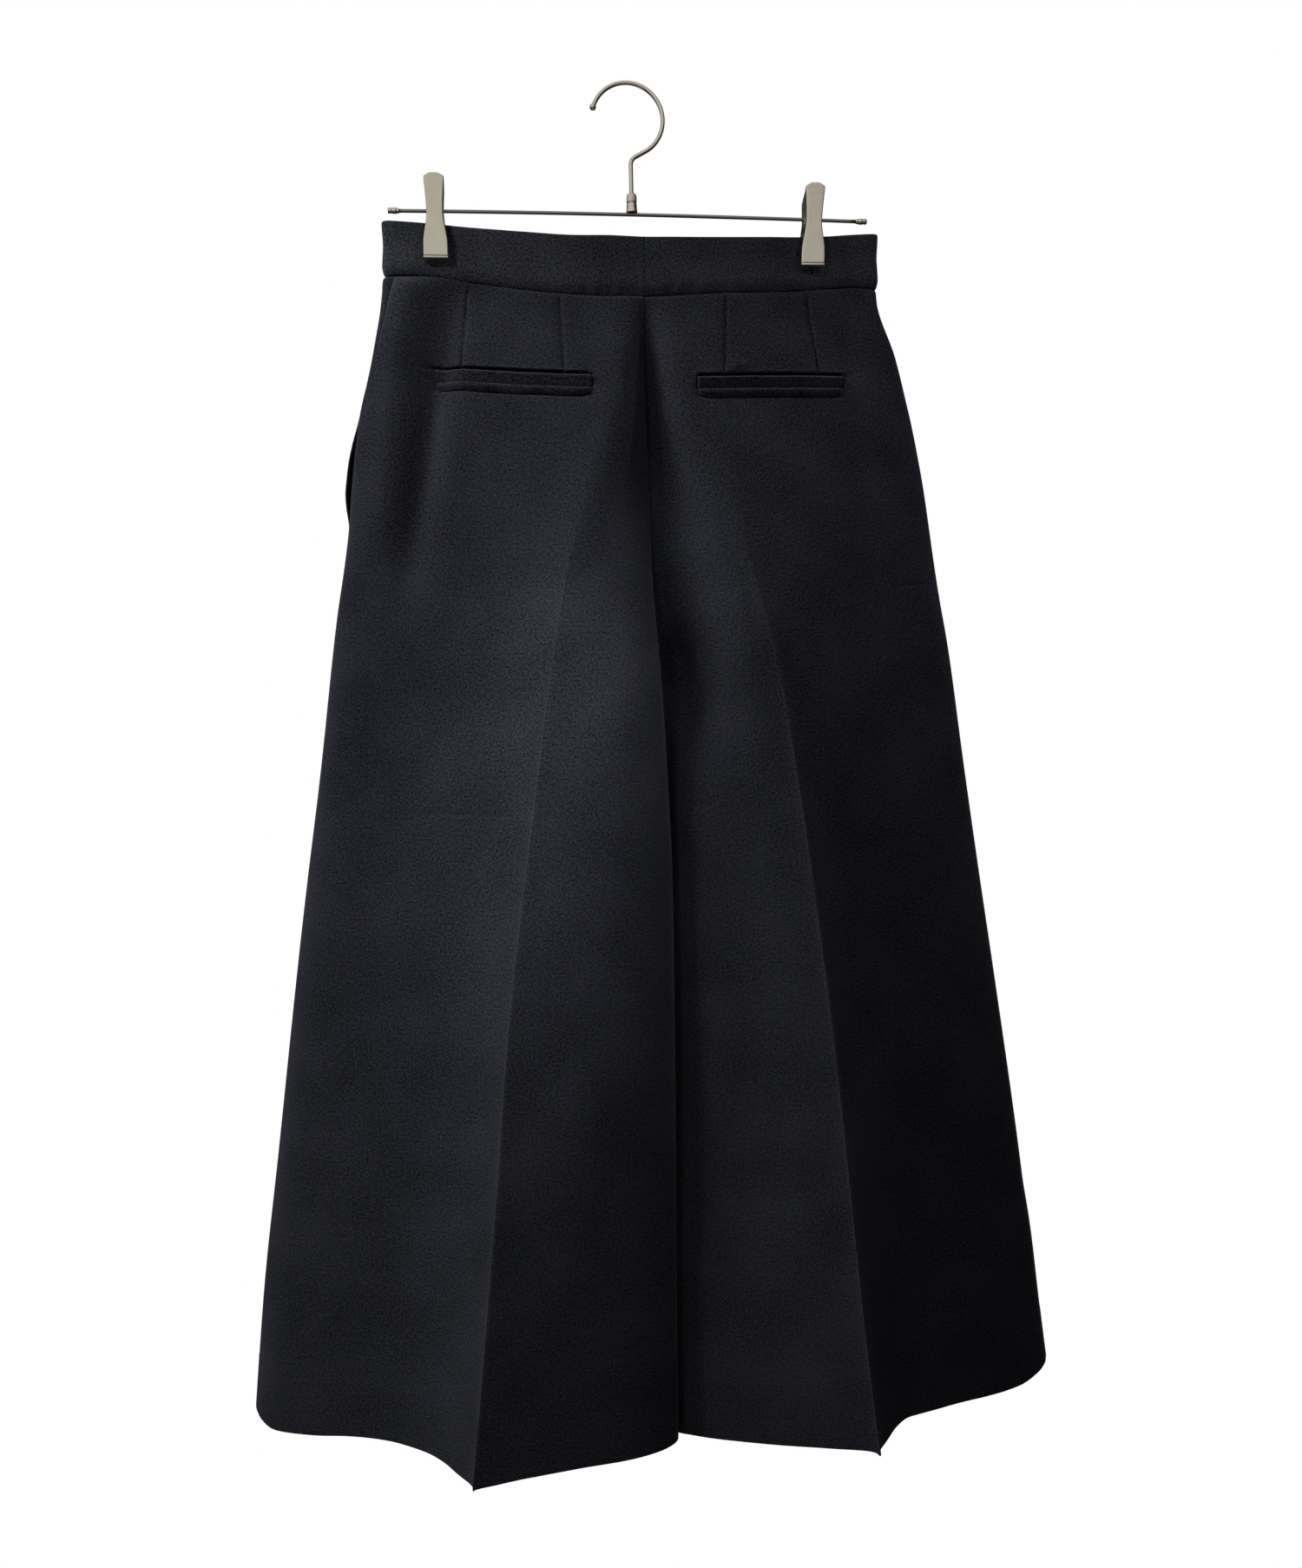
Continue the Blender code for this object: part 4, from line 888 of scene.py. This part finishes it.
# Dimples where the seam draws the band in: across, above the seam, half width, half height, depth.
puckerNames = ("x", "above", "wide", "high", "height")
puckers = (
    (-34, 3.5, 2.6, 5, -0.75), (-27.5, 6, 2.8, 6, 0.45), (-23.5, 4.5, 1.8, 5, -0.8),
    (-17, 5, 3.0, 6, -0.6), (-11, 5, 2.5, 6, 0.35), (26, 5, 2.6, 6, -0.6), (32, 5, 3, 6, 0.3),
    (42, 4, 2.6, 5, -0.7), (49, 5, 3.5, 6, 0.3), (65, 4, 2.6, 5, -0.5), (-60, 4, 4, 6, -0.3),
    (-90, 4, 4, 6, -0.35), (100, 4, 5, 6, -0.4), (115, 5, 4, 7, 0.3), (-110, 5, 5, 7, 0.3),
    (-137.6, 8, 12, 12, -0.5), (129.6, 8, 12, 12, -0.5), (-158, 6, 5, 9, 0.4),
    (150, 6, 5, 9, 0.4), (-6, 2.5, 17, 5.5, -0.9), (-2, 20, 20, 14, -0.35),
    (-80, 22, 26, 12, 0.3), (80, 22, 24, 12, 0.3),
)


def puckerHeight(x, above):
    # Sum of small round hills and hollows: height * exp(-(dx/wide)^2 - (dz/high)^2).
    total = np.zeros(np.broadcast(x, above).shape)
    for row in puckers:
        spot = dict(zip(puckerNames, row))
        away = ((x - spot["x"]) / spot["wide"]) ** 2 + ((above - spot["above"]) / spot["high"]) ** 2
        total += spot["height"] * np.exp(-away)
    return total


def makeWaistband(half):
    # The ring of one height, carried up and down between the band's two edges.
    side = np.linspace(1, 0, waistband["outerColumns"] + 1) ** waistband["crowding"]
    outerW = np.concatenate([1 + cosineSteps(waistband["innerColumns"])[:0:-1], side])
    w = np.concatenate([outerW, -outerW[-2::-1]])[None, :]
    share = cosineSteps(waistband["rows"])[:, None]
    x, _ = ring(half, w, waistband["planDrop"])
    top, seam = bandEdge("top", x, w), bandEdge("seam", x, w)
    drop = top + (seam - top) * share
    fromTop, fromSeam = drop - top, seam - drop
    shapeDrop = waistband["shapeDrop"] + waistband["follows"] * (drop - waistband["shapeDrop"])
    x, y = ring(half, np.broadcast_to(w, drop.shape), shapeDrop)
    points = np.stack([x, y, -drop], axis=-1)
    normals = gridNormals(points, (-1 if half == "L" else 1, 0, 0))
    along = distanceAcross(points)
    ends = np.minimum(along, along[:, -1:] - along)
    topRoll = rollIn(fromTop, waistband["topRound"])
    seamRoll = rollIn(fromSeam * waistband["seamRound"] / waistband["seamReach"],
                      waistband["seamRound"])
    roll = np.max([topRoll, seamRoll, rollIn(ends, waistband["endRound"])], axis=0)
    # The front has the back's dimples in reflection.
    turn, shift = waistband["frontMirror"]
    lift = puckerHeight(np.where(w < 0, turn * x + shift, x), fromSeam)
    lift = lift * ease(ends, *waistband["fadeEnds"]) * ease(fromTop, *waistband["fadeTop"])
    lift = lift * ease(fromSeam, *waistband["fadeSeam"])
    # The face is a little hollow, and its foot is drawn in towards the seam.
    deep, at, wide = waistband["hollow"]
    tuck, reach = waistband["tuck"]
    lift = lift - deep * np.exp(-((share - at) / wide) ** 2) - tuck * (1 - ease(fromSeam, 0, reach))
    outer = points + normals * (waistband["proud"] + lift - roll)[..., None]
    inner = points - normals * (waistband["wall"] - waistband["proud"] - topRoll)[..., None]
    inner = inner + lapped(ends, 1.0, fromSeam)
    uv = np.stack([along * (1 if half == "R" else -1), -drop], axis=-1)
    piece = shellPiece("waistband" + sideName(half).title(), outer, inner, uv, bandClothPaintedLighter)
    return own(piece, "black_wool_twill", "waistband_" + sideName(half))


bandPieces = {half: makeWaistband(half) for half in "LR"}
print("waistband made")

# Welts: two lips of turned cloth in each pocket's sunk place. The upper one is flat with a round
# top edge, and the lower one swells and falls away below.
weltShapes = {
    "upper": {"below": 0.35, "height": 8.6, "inset": 0.55,
              "t": (0, 0.02, 0.055, 0.1, 0.16, 0.24, 0.5, 0.8, 0.92, 0.97, 1),
              "rise": (0, 0.8, 1.5, 2.1, 2.7, 3.1, 2.1, 1.0, 0.5, 0.25, 0)},
    "lower": {"below": 9.4, "height": 6.5, "inset": 0.8,
              "t": (0, 0.03, 0.08, 0.15, 0.25, 0.38, 0.55, 0.72, 0.86, 0.95, 1),
              "rise": (0, 1.0, 1.75, 2.3, 2.6, 2.6, 2.25, 1.6, 0.85, 0.35, 0)},
}
# Both lie in the bed, a hair clear of it. The strips taper, waver and puff a little, as sewn.
weltFinish = {"sunk": 0.85, "clear": 0.04, "columns": 150, "crowding": 0.8, "finer": 3,
              "taper": {"upper": 0.0, "lower": 0.35}, "taperPower": 14,
              "waver": {"upper": 0.1, "lower": 0.32}, "endRound": {"upper": 0.9, "lower": 3.2},
              "puff": ((0.06, 0.17, 1.0), (0.05, 0.41, 0.0))}


def makeWelt(row, kind):
    # A strip under the line of the pocket, raised by the lip's profile. s goes across it, t down.
    place, lip = dict(zip(weltNames, row)), weltShapes[kind]
    half, count = place["half"], weltFinish["columns"]
    # Columns and rows stand closer together at the rims.
    crowded = weltFinish["crowding"]
    s = ((1 - crowded) * np.arange(count + 1) / count + crowded * cosineSteps(count))[None, :]
    t = finer(lip["t"], weltFinish["finer"])[:, None]
    length, fall = place["xB"] - place["xA"], place["dropB"] - place["dropA"]
    x = place["xA"] + lip["inset"] + (length - 2 * lip["inset"]) * s + 0 * t
    waver = weltFinish["waver"][kind] * waves(x, ((1.0, 0.23, place["xA"]), (0.6, 0.09, 2.0)))
    taper = weltFinish["taper"][kind] * np.abs(2 * s - 1) ** weltFinish["taperPower"]
    tall = lip["height"] * (1 - taper)
    sag = place["sag"] * 4 * s * (1 - s)
    drop = place["dropA"] + fall * s + sag + lip["below"] + (tall + waver) * t
    y = ring(half, wAt(half, x, drop), drop)[1]
    points = np.stack([x, y, -drop], axis=-1)
    normals = gridNormals(points, (0, -1, 0))
    bed = foldHeight(half + "back", x, drop) - weltFinish["sunk"]
    points = points + normals * bed[..., None]
    fromEnd = np.minimum(s, 1 - s) * (length - 2 * lip["inset"])
    ends = np.sqrt(1 - (1 - np.clip(fromEnd / weltFinish["endRound"][kind], 0, 1)) ** 2)
    rise = smooth(t, lip["t"], lip["rise"]) * ends * (1 + waves(x, weltFinish["puff"]))
    outer = points + normals * (weltFinish["clear"] + rise)[..., None]
    uv = np.stack([x, -drop], axis=-1)
    piece = shellPiece(f"{kind}Welt{sideName(half).title()}", outer, points, uv, cloth)
    return own(piece, "black_wool_twill", f"welt_{kind}_{sideName(half)}")


weltPieces = [(kind, makeWelt(row, kind)) for row in weltRows for kind in ("upper", "lower")]
print("welts made")

# Facing inside the side pocket's gape, in the twill painted darker: painted shade for the gape.
facing = {"drops": (226.0, 312.0), "reach": (-0.10, 0.14), "in": 2.7, "wall": 1.2,
          "edgeRound": 0.5, "rows": 40, "columns": 36, "flat": (0.024, 0.086)}


def makeFacing():
    # A patch of the ring across the side seam, moved in behind the gape.
    drop, w = np.meshgrid(np.linspace(*facing["drops"], facing["rows"]),
                          np.linspace(*facing["reach"], facing["columns"]), indexing="ij")
    x, y = ring("L", w, drop)
    points = np.stack([x, y, -drop], axis=-1)
    inward = -gridNormals(points, (-1, 0, 0))
    along = distanceAcross(points)
    edges = along, along[:, -1:] - along, drop - drop[0], drop[-1] - drop
    roll = np.max([rollIn(distance, facing["edgeRound"]) for distance in edges], axis=0)
    outer = points + inward * (facing["in"] + roll)[..., None]
    inner = points + inward * (facing["in"] + facing["wall"] - roll)[..., None]
    uv = np.stack([along, -drop], axis=-1)
    piece = shellPiece("sidePocketFacing", outer, inner, uv, facingClothPaintedDarker)
    return own(piece, "black_pocket_facing", "pocket_facing_left")


facingPiece = makeFacing()
print("pocket facing made")

# Hanger wire: hook, bar and their turned ends.
hook = {"wire": 1.5, "radius": 25.2, "centreX": -1.8, "tip": 157.5, "end": -58.0, "ball": 2.3,
        "bendDrop": 51.5, "bendRound": 4.0, "stemTop": 58.0, "foot": 86.0, "sides": 28,
        "ballShare": (0.04, 0.80), "ballOver": 0.25,        # how much of the ball, and its overlap
        "ballRings": 22, "bowRings": 110, "elbowRings": 20, "stemRings": 20}
bar = {"drop": 89.8, "sag": 1.1, "slope": 0.0030, "half": 162.0, "radius": 1.25, "sides": 24,
       "rings": 61, "knobLength": 8.0, "knobSides": 40}
knobProfile = ((0.0, 0.0), (0.0, 1.45), (0.15, 1.75), (0.45, 1.92), (2.4, 1.92), (2.6, 1.72),
               (2.8, 1.66), (3.0, 1.85), (3.3, 2.05), (5.9, 2.05), (6.15, 1.85), (6.3, 1.6),
               (6.6, 1.6), (6.8, 1.72), (7.7, 1.68), (8.0, 1.4), (8.0, 0.0))     # along, radius
collar = {"top": 75.4, "teeth": 26, "toothDepth": 0.13, "toothLeast": 3.0, "sides": 156,
          "knurl": ((1.5, 1.9), (6.2, 6.5))}
collarProfile = ((0.0, 1.85), (0.0, 2.2), (0.25, 2.65), (0.7, 3.05), (1.3, 3.4), (1.9, 3.55),
                 (2.4, 3.6), (4.0, 3.62), (5.6, 3.6), (6.2, 3.52), (6.45, 3.3), (6.6, 3.15),
                 (7.0, 3.15), (7.2, 3.3), (7.45, 3.58), (8.6, 3.62), (10.0, 3.62), (10.9, 3.68),
                 (11.8, 3.88), (12.7, 4.0), (13.05, 3.95), (13.2, 3.7), (13.2, 1.85))  # down, radius
leastRadius, turnedSharp = 0.02, 42         # a turned piece's radius at its poles, its sharp edges


def sweptTube(name, path, radii, sides, material, towards=(0.0, 1.0, 0.0)):
    # A circle carried along a path: path + r * (cos(a) * across + sin(a) * deep). across is at
    # right angles to the path and to the direction towards.
    path = np.asarray(path, float)
    tangent = unit(np.gradient(path, axis=0))
    across = unit(np.cross(tangent, towards))
    deep = np.cross(across, tangent)
    angle = (2 * np.pi * np.arange(sides) / sides)[None, :, None]
    spoke = np.cos(angle) * across[:, None] + np.sin(angle) * deep[:, None]
    rings = path[:, None] + spoke * np.broadcast_to(radii, len(path))[:, None, None]
    points = np.concatenate([rings.reshape(-1, 3), path[:1], path[-1:]])
    return makePiece(name, points, tubeFaces(len(path), sides), material)


def turnedPiece(name, profileRows, origin, axis, sides, material, teeth=None):
    # An (along, radius) profile turned about an axis. Teeth are shallow waves in the radius.
    along, radius = np.array(profileRows, float).T
    angle = 2 * np.pi * np.arange(sides) / sides
    axis = np.array(axis, float)
    first = unit(np.cross(axis, (0.0, 1.0, 0.0)))
    second = np.cross(axis, first)
    spoke = np.cos(angle)[:, None] * first + np.sin(angle)[:, None] * second
    radius = np.broadcast_to(radius[None, :], (sides, len(along))).copy()
    if teeth:
        inside = between(along, *teeth["knurl"]) * (radius > teeth["toothLeast"])
        wave = np.abs(np.sin(teeth["teeth"] * angle / 2))[:, None]
        radius -= teeth["toothDepth"] * (1 - wave) * inside
    radius = np.maximum(radius, leastRadius)
    points = (np.array(origin, float) + along[None, :, None] * axis
              + radius[..., None] * spoke[:, None])
    faces = gridFaces(sides, len(along), (1, 1))
    return makePiece(name, points, [faces], material, sharp=turnedSharp)


def barDrop(x):
    # The bar sags at both ends and slopes: drop + sag * (x / half)^2 + slope * x.
    return bar["drop"] + bar["sag"] * (np.asarray(x) / bar["half"]) ** 2 + bar["slope"] * x


def makeHook():
    # From the ball tip over the top, down the right side, in to the stem and down.
    centre = np.array((hook["centreX"], 0, hook["wire"] - hook["radius"]))
    angle = np.radians(np.linspace(hook["tip"], hook["end"], hook["bowRings"]))
    bow = centre + hook["radius"] * np.stack([np.cos(angle), 0 * angle, np.sin(angle)], axis=-1)
    bend = np.array((0.0, 0, -hook["bendDrop"]))
    t = np.linspace(0, 1, hook["elbowRings"])[:, None]
    into = bend + hook["bendRound"] * unit(bow[-1] - bend)
    out = bend + np.array((0, 0, -hook["bendRound"]))
    elbow = (1 - t) ** 2 * into + 2 * t * (1 - t) * bend + t * t * out
    stem = np.linspace((0, 0, -hook["stemTop"]), (0, 0, -hook["foot"]), hook["stemRings"])
    back = unit(bow[0] - bow[1])
    share = 0.5 - 0.5 * np.cos(np.pi * np.linspace(*hook["ballShare"], hook["ballRings"]))
    ballPath = bow[0] + back * (2 * hook["ball"] * (1 - share) - hook["ballOver"])[:, None]
    ball = hook["ball"] * np.sqrt(1 - (1 - 2 * share) ** 2)
    ball = np.maximum(ball, np.where(share > 0.5, hook["wire"], 0))
    path = np.concatenate([ballPath, bow[1:], elbow, stem])
    radii = np.concatenate([ball, np.full(len(path) - len(ball), hook["wire"])])
    return own(sweptTube("hookWire", path, radii, hook["sides"], wire), "polished_nickel", "hook")


def makeBar():
    # A tube along the bar's line, with a turned knob at each end.
    x = np.linspace(-bar["half"], bar["half"], bar["rings"])
    path = np.stack([x, 0 * x, -barDrop(x)], axis=-1)
    own(sweptTube("hangerBar", path, bar["radius"], bar["sides"], barWire), "polished_nickel", "bar")
    for side, sign in (("left", -1), ("right", 1)):
        rows = [(bar["knobLength"] - along, radius) for along, radius in knobProfile[::-1]]
        origin = (sign * (bar["half"] + seamGap), 0, -barDrop(sign * bar["half"]))
        knob = turnedPiece("barKnob" + side.title(), rows, origin, (sign, 0, 0),
                           bar["knobSides"], wire)
        own(knob, "polished_nickel", "knob_" + side)


makeHook()
makeBar()
own(turnedPiece("swivelCollar", collarProfile, (0, 0, -collar["top"]), (0, 0, -1),
                collar["sides"], wire, collar), "polished_nickel", "collar")
print("hook, bar and collar made")

# Clips. Each jaw is a pressed channel: a face with two flanks turned back from it. Its rows run
# down the clip: below the bar, half width, depth of the face, how far back the flanks reach.
clips = {
    "centres": {"left": -137.6, "right": 129.6}, "leans": {"left": 0.0, "right": -0.05},
    "sheet": 0.9, "bend": 0.9, "bore": 1.6, "boreHalf": 12.0, "boreSides": 24,
    "leastFlank": 0.05, "leastBend": 0.12, "faceSteps": 9, "bendSteps": 6, "flankSteps": 5,
    "finer": 4, "sharp": 38,
}
jawNames = ("below", "half", "y", "flank")
nearJaw = (
    (-22.3, 2.9, -10.6, 0.9), (-22.1, 3.6, -10.6, 1.1), (-21.2, 5.2, -10.6, 1.4),
    (-19.9, 6.9, -10.55, 1.8), (-17.8, 6.95, -10.45, 3.0), (-15.8, 6.8, -10.4, 7.0),
    (-14.2, 6.65, -10.3, 11.5), (-12.5, 6.5, -10.25, 13.0), (-8.0, 6.2, -10.1, 13.4),
    (-2.0, 5.85, -9.9, 13.3), (3.6, 5.7, -9.75, 13.0), (5.6, 5.75, -9.7, 11.0),
    (7.4, 5.95, -9.7, 6.0), (9.6, 6.2, -9.7, 3.2), (14.0, 6.95, -9.7, 2.1),
    (19.0, 7.8, -9.75, 1.8), (24.0, 8.4, -9.8, 1.8), (29.0, 8.5, -9.85, 1.8),
    (33.0, 8.5, -9.9, 1.8), (33.5, 8.5, -9.75, 1.8),
)
farJaw = (
    (-17.1, 2.4, 8.4, 0.9), (-16.7, 3.6, 8.4, 1.1), (-15.9, 4.8, 8.3, 1.4),
    (-14.0, 6.1, 8.0, 1.8), (-11.5, 6.1, 7.6, 2.0), (-9.5, 6.05, 7.3, 5.0),
    (-7.0, 6.0, 7.0, 9.0), (-3.0, 5.95, 6.6, 10.0), (1.0, 5.9, 6.2, 9.6), (4.0, 6.1, 6.2, 9.4),
    (6.0, 6.3, 6.25, 5.0), (8.5, 6.55, 6.3, 2.6), (13.0, 7.2, 6.4, 1.8), (17.5, 7.8, 6.9, 1.8),
    (22.0, 8.4, 7.4, 1.8), (27.0, 8.45, 7.9, 1.8), (31.0, 8.5, 8.2, 1.8), (31.6, 8.5, 8.1, 1.8),
)


def jawSection(table, sign, inset):
    # Across one row: flank, rounded bend, face, bend, flank. inset moves it in by the sheet.
    half, y = table["half"][:, None] - inset, table["y"][:, None] - sign * inset
    flank = np.maximum(table["flank"][:, None] - inset, clips["leastFlank"])
    bend = np.minimum(np.maximum(clips["bend"] - inset, clips["leastBend"]), half / 2)
    bend = np.minimum(bend, flank)
    turn = np.linspace(0, np.pi / 2, clips["bendSteps"])[None, :]
    face = np.linspace(-1, 1, clips["faceSteps"])[None, 1:-1]
    leg = np.linspace(1, 0, clips["flankSteps"])[None, :-1]
    leftX = np.concatenate([-half + 0 * leg, -half + bend * (1 - np.cos(turn))], axis=1)
    leftBack = np.concatenate([bend + (flank - bend) * leg, bend * (1 - np.sin(turn))], axis=1)
    x = np.concatenate([leftX, (half - bend) * face, -leftX[:, ::-1]], axis=1)
    back = np.concatenate([leftBack, 0 * half * face, leftBack[:, ::-1]], axis=1)
    return x, y - sign * back


def makeJaw(side, kind, rows, sign):
    # Sections smoothed between the rows, as a sheet with the bar's bore cut through its flanks.
    centre, lean = clips["centres"][side], clips["leans"][side]
    drop = barDrop(centre)
    table = dict(zip(jawNames, np.array(rows, float).T))
    below = finer(table["below"], clips["finer"])
    table = {name: smooth(below, table["below"], values) for name, values in table.items()}
    table["below"] = below

    def grid(inset):
        x, y = jawSection(table, sign, inset)
        z = np.broadcast_to(-drop - below[:, None], x.shape).copy()
        z[0] -= inset
        z[-1] += inset
        return np.stack([centre + lean * below[:, None] + x, y, z], axis=-1)
    outer, inner = grid(0.0), grid(clips["sheet"])
    piece = shellPiece(f"clip{side.title()}{kind}Jaw", outer, inner, outer[..., ::2], plate)
    axis = [(centre + out, 0, -drop) for out in (-clips["boreHalf"], 0, clips["boreHalf"])]
    bore = sweptTube("bore", axis, clips["bore"], clips["boreSides"], plate)
    cut = piece.modifiers.new("bore", "BOOLEAN")
    cut.object, cut.operation, cut.solver = bore, "DIFFERENCE", "EXACT"
    graph = bpy.context.evaluated_depsgraph_get()
    mesh = bpy.data.meshes.new_from_object(piece.evaluated_get(graph))
    piece.modifiers.clear()
    piece.data = mesh
    mesh.set_sharp_from_angle(angle=np.radians(clips["sharp"]))
    bpy.data.objects.remove(bore, do_unlink=True)
    return own(piece, "satin_nickel_plate", f"clip_{side}_{kind.lower()}_jaw")


# The lip at the foot of each jaw, turned in to press on the cloth. It narrows at both ends.
lipNames = ("top", "tall", "front", "back")
lipRows = {"near": (33.6, 1.6, -9.7, -5.1), "far": (31.7, 1.6, 8.1, 5.1)}
lipShape = {"half": 8.45, "power": 0.35, "sides": 24, "sharp": 50,
            "across": (-1, -0.985, -0.94, 0, 0.94, 0.985, 1),
            "size": (0.86, 0.96, 1, 1, 1, 0.96, 0.86)}


def makeLip(side, kind):
    # Sections side by side, each a rounded oblong: cosine and sine raised to a small power.
    lip, centre, lean = dict(zip(lipNames, lipRows[kind])), clips["centres"][side], clips["leans"][side]
    drop = barDrop(centre) + lip["top"] + lip["tall"] / 2
    angle = 2 * np.pi * np.arange(lipShape["sides"]) / lipShape["sides"]
    cosine, sine = np.cos(angle), np.sin(angle)
    deep, tall = abs(lip["front"] - lip["back"]) / 2, lip["tall"] / 2
    y = deep * np.sign(cosine) * np.abs(cosine) ** lipShape["power"]
    z = tall * np.sign(sine) * np.abs(sine) ** lipShape["power"]
    x = centre + lean * lip["top"] + lipShape["half"] * np.array(lipShape["across"])
    size = np.array(lipShape["size"])[:, None]
    points = np.stack([np.broadcast_to(x[:, None], (len(x), len(angle))),
                       (lip["front"] + lip["back"]) / 2 + y * size, z * size - drop], axis=-1)
    points = np.concatenate([points.reshape(-1, 3), points[:1].mean(1), points[-1:].mean(1)])
    piece = makePiece(f"clip{side.title()}{kind.title()}Lip", points,
                      tubeFaces(len(x), len(angle)), plate, sharp=lipShape["sharp"])
    return own(piece, "satin_nickel_plate")


spring = {"wire": 0.55, "radius": 2.45, "turns": 5.0, "half": 2.9, "sides": 8,
          "nearLeg": (0.0, -3.4, 9.5), "farLeg": (0.0, 2.6, 9.5), "rings": 160, "legRings": 8}


def makeSpring(side):
    # A torsion spring: a helix round the bar with a straight leg to each jaw.
    centre = clips["centres"][side]
    drop = barDrop(centre)
    turn = np.linspace(0, 2 * np.pi * spring["turns"], spring["rings"])
    coil = np.stack([centre - spring["half"] + 2 * spring["half"] * turn / turn[-1],
                     spring["radius"] * np.cos(turn), -drop + spring["radius"] * np.sin(turn)],
                    axis=-1)
    leg = np.linspace(0, 1, spring["legRings"])[1:, None]
    near = coil[0] + leg[::-1] * np.array(spring["nearLeg"])
    far = coil[-1] + leg * np.array(spring["farLeg"])
    path = np.concatenate([near, coil, far])
    piece = sweptTube(f"clip{side.title()}Spring", path, spring["wire"], spring["sides"], wire,
                      towards=(0.0, 0.3, 1.0))
    return own(piece, "polished_nickel", f"clip_{side}_spring")


for side in clips["centres"]:
    makeJaw(side, "Near", nearJaw, -1)
    makeJaw(side, "Far", farJaw, 1)
    makeLip(side, "near")
    makeLip(side, "far")
    makeSpring(side)
print("clips made")
# Studio: a plain pale floor well below. The key and the window are far to the left and above, the
# key on the camera's side. The fill is to the right of the camera, and one large panel lights the
# hidden side. The others are small or narrow beams that draw out the edges, the left hip and the
# insides of the legs.
lightNames = ("name", "place", "aim", "size", "power", "spread")
lights = (
    ("key", (-1280, -1530, 1270), (-50, 0, -450), (420, 420), 12.7, 180.0),
    ("window", (-2490, -440, 1720), (-50, 0, -450), (600, 600), 73.5, 180.0),
    ("side", (-2380, -860, 1720), (-50, 0, -600), (300, 300), 0.281, 13.4),
    ("fill", (540, -650, 310), (-50, 0, -450), (160, 160), 1.64, 180.0),
    ("hip", (-280, -160, -20), (-120, 0, -180), (40, 40), 0.116, 110.6),
    ("thigh", (40, -250, 30), (-150, 0, -800), (30, 30), 0.12, 25.4),
    ("leg", (50, -270, 460), (-150, 0, -800), (40, 40), 0.0433, 17.4),
    ("rim", (2120, 0, 2130), (50, 0, -420), (150, 150), 0.211, 13.9),
    ("inner", (420, -730, 310), (-50, 0, -420), (50, 50), 0.0221, 12.1),
    ("rear", (900, 1500, 300), (0, 0, -450), (900, 1200), 22.0, 180.0),
)
studio = {
    "floorDrop": 3000.0, "floorRadius": 2300.0, "floorSides": 96, "floor": "#e6e6e4",
    "sky": "#d9e0ea", "skyStrength": 0.008,
    # What the metal mirrors: a bright room above, in front and to the left, dark behind and below.
    "room": {"towards": (-0.42, -0.62, 0.66), "from": 0.1, "to": 0.85, "dark": "#3c3936",
             "bright": "#fffcf6", "strength": 0.8},
}


def areaLight(look):
    # A panel that shines from its place to its aim. No mirror or camera sees it.
    data = bpy.data.lights.new(look["name"] + "Light", "AREA")
    data.shape, data.energy = "RECTANGLE", look["power"]
    data.size, data.size_y = (s * mm for s in look["size"])
    data.spread = np.radians(look["spread"])
    light = bpy.data.objects.new(data.name, data)
    light.visible_camera = False
    light.visible_glossy = False
    place, aim = np.array(look["place"], float) * mm, np.array(look["aim"], float) * mm
    back = unit(place - aim)
    across = unit(np.cross((0.0, 0.0, 1.0), back))
    stand(light, across, np.cross(back, across), back, place)


def makeFloor():
    # A flat disc, far below the garment.
    k, sides = np.arange(studio["floorSides"]), studio["floorSides"]
    angle = 2 * np.pi * k / sides
    rim = np.stack([np.cos(angle), np.sin(angle), 0 * angle], axis=-1) * studio["floorRadius"]
    points = np.concatenate([rim, [[0, 0, 0]]]) - np.array([0, 0, studio["floorDrop"]])
    fan = np.stack([k, (k + 1) % sides, np.full(sides, sides)], axis=1)
    paint = newMaterial("matt pale studio floor", {"Base Color": srgb(studio["floor"]),
                                                   "Roughness": 0.9})[0]
    makePiece("studioFloor", points, [fan], paint)


def makeWorld():
    # The world looks white behind the garment, lights it only faintly, and shows the metal a room.
    world = bpy.data.worlds.new("white studio")
    bpy.context.scene.world = world
    world.use_nodes = True
    tree, room = world.node_tree, studio["room"]
    tree.nodes.clear()
    path = addNode(tree, "ShaderNodeLightPath")
    ray = addNode(tree, "ShaderNodeTexCoord").outputs["Generated"]
    towards = tuple(unit(np.array(room["towards"])))
    lean = addNode(tree, "ShaderNodeVectorMath", {0: ray, 1: towards},
                   operation="DOT_PRODUCT").outputs["Value"]
    share = addNode(tree, "ShaderNodeMapRange", {"Value": lean, "From Min": room["from"],
                                                 "From Max": room["to"]},
                    interpolation_type="SMOOTHSTEP").outputs[0]
    shade = addNode(tree, "ShaderNodeMix", {"Factor": share, 6: srgb(room["dark"]),
                                            7: srgb(room["bright"])}, data_type="RGBA").outputs[2]
    soft = addNode(tree, "ShaderNodeBackground", {"Color": srgb(studio["sky"]),
                                                  "Strength": studio["skyStrength"]})
    mirrored = addNode(tree, "ShaderNodeBackground", {"Color": shade, "Strength": room["strength"]})
    white = addNode(tree, "ShaderNodeBackground", {"Color": (1, 1, 1, 1), "Strength": 1.0})
    glossy = addNode(tree, "ShaderNodeMixShader", {0: path.outputs["Is Glossy Ray"],
                                                   1: soft.outputs[0], 2: mirrored.outputs[0]})
    mixed = addNode(tree, "ShaderNodeMixShader", {0: path.outputs["Is Camera Ray"],
                                                  1: glossy.outputs[0], 2: white.outputs[0]})
    addNode(tree, "ShaderNodeOutputWorld", {"Surface": mixed.outputs[0]})


makeFloor()
for row in lights:
    areaLight(dict(zip(lightNames, row)))
makeWorld()
bpy.context.scene.view_settings.view_transform = "Standard"
print("studio lit")
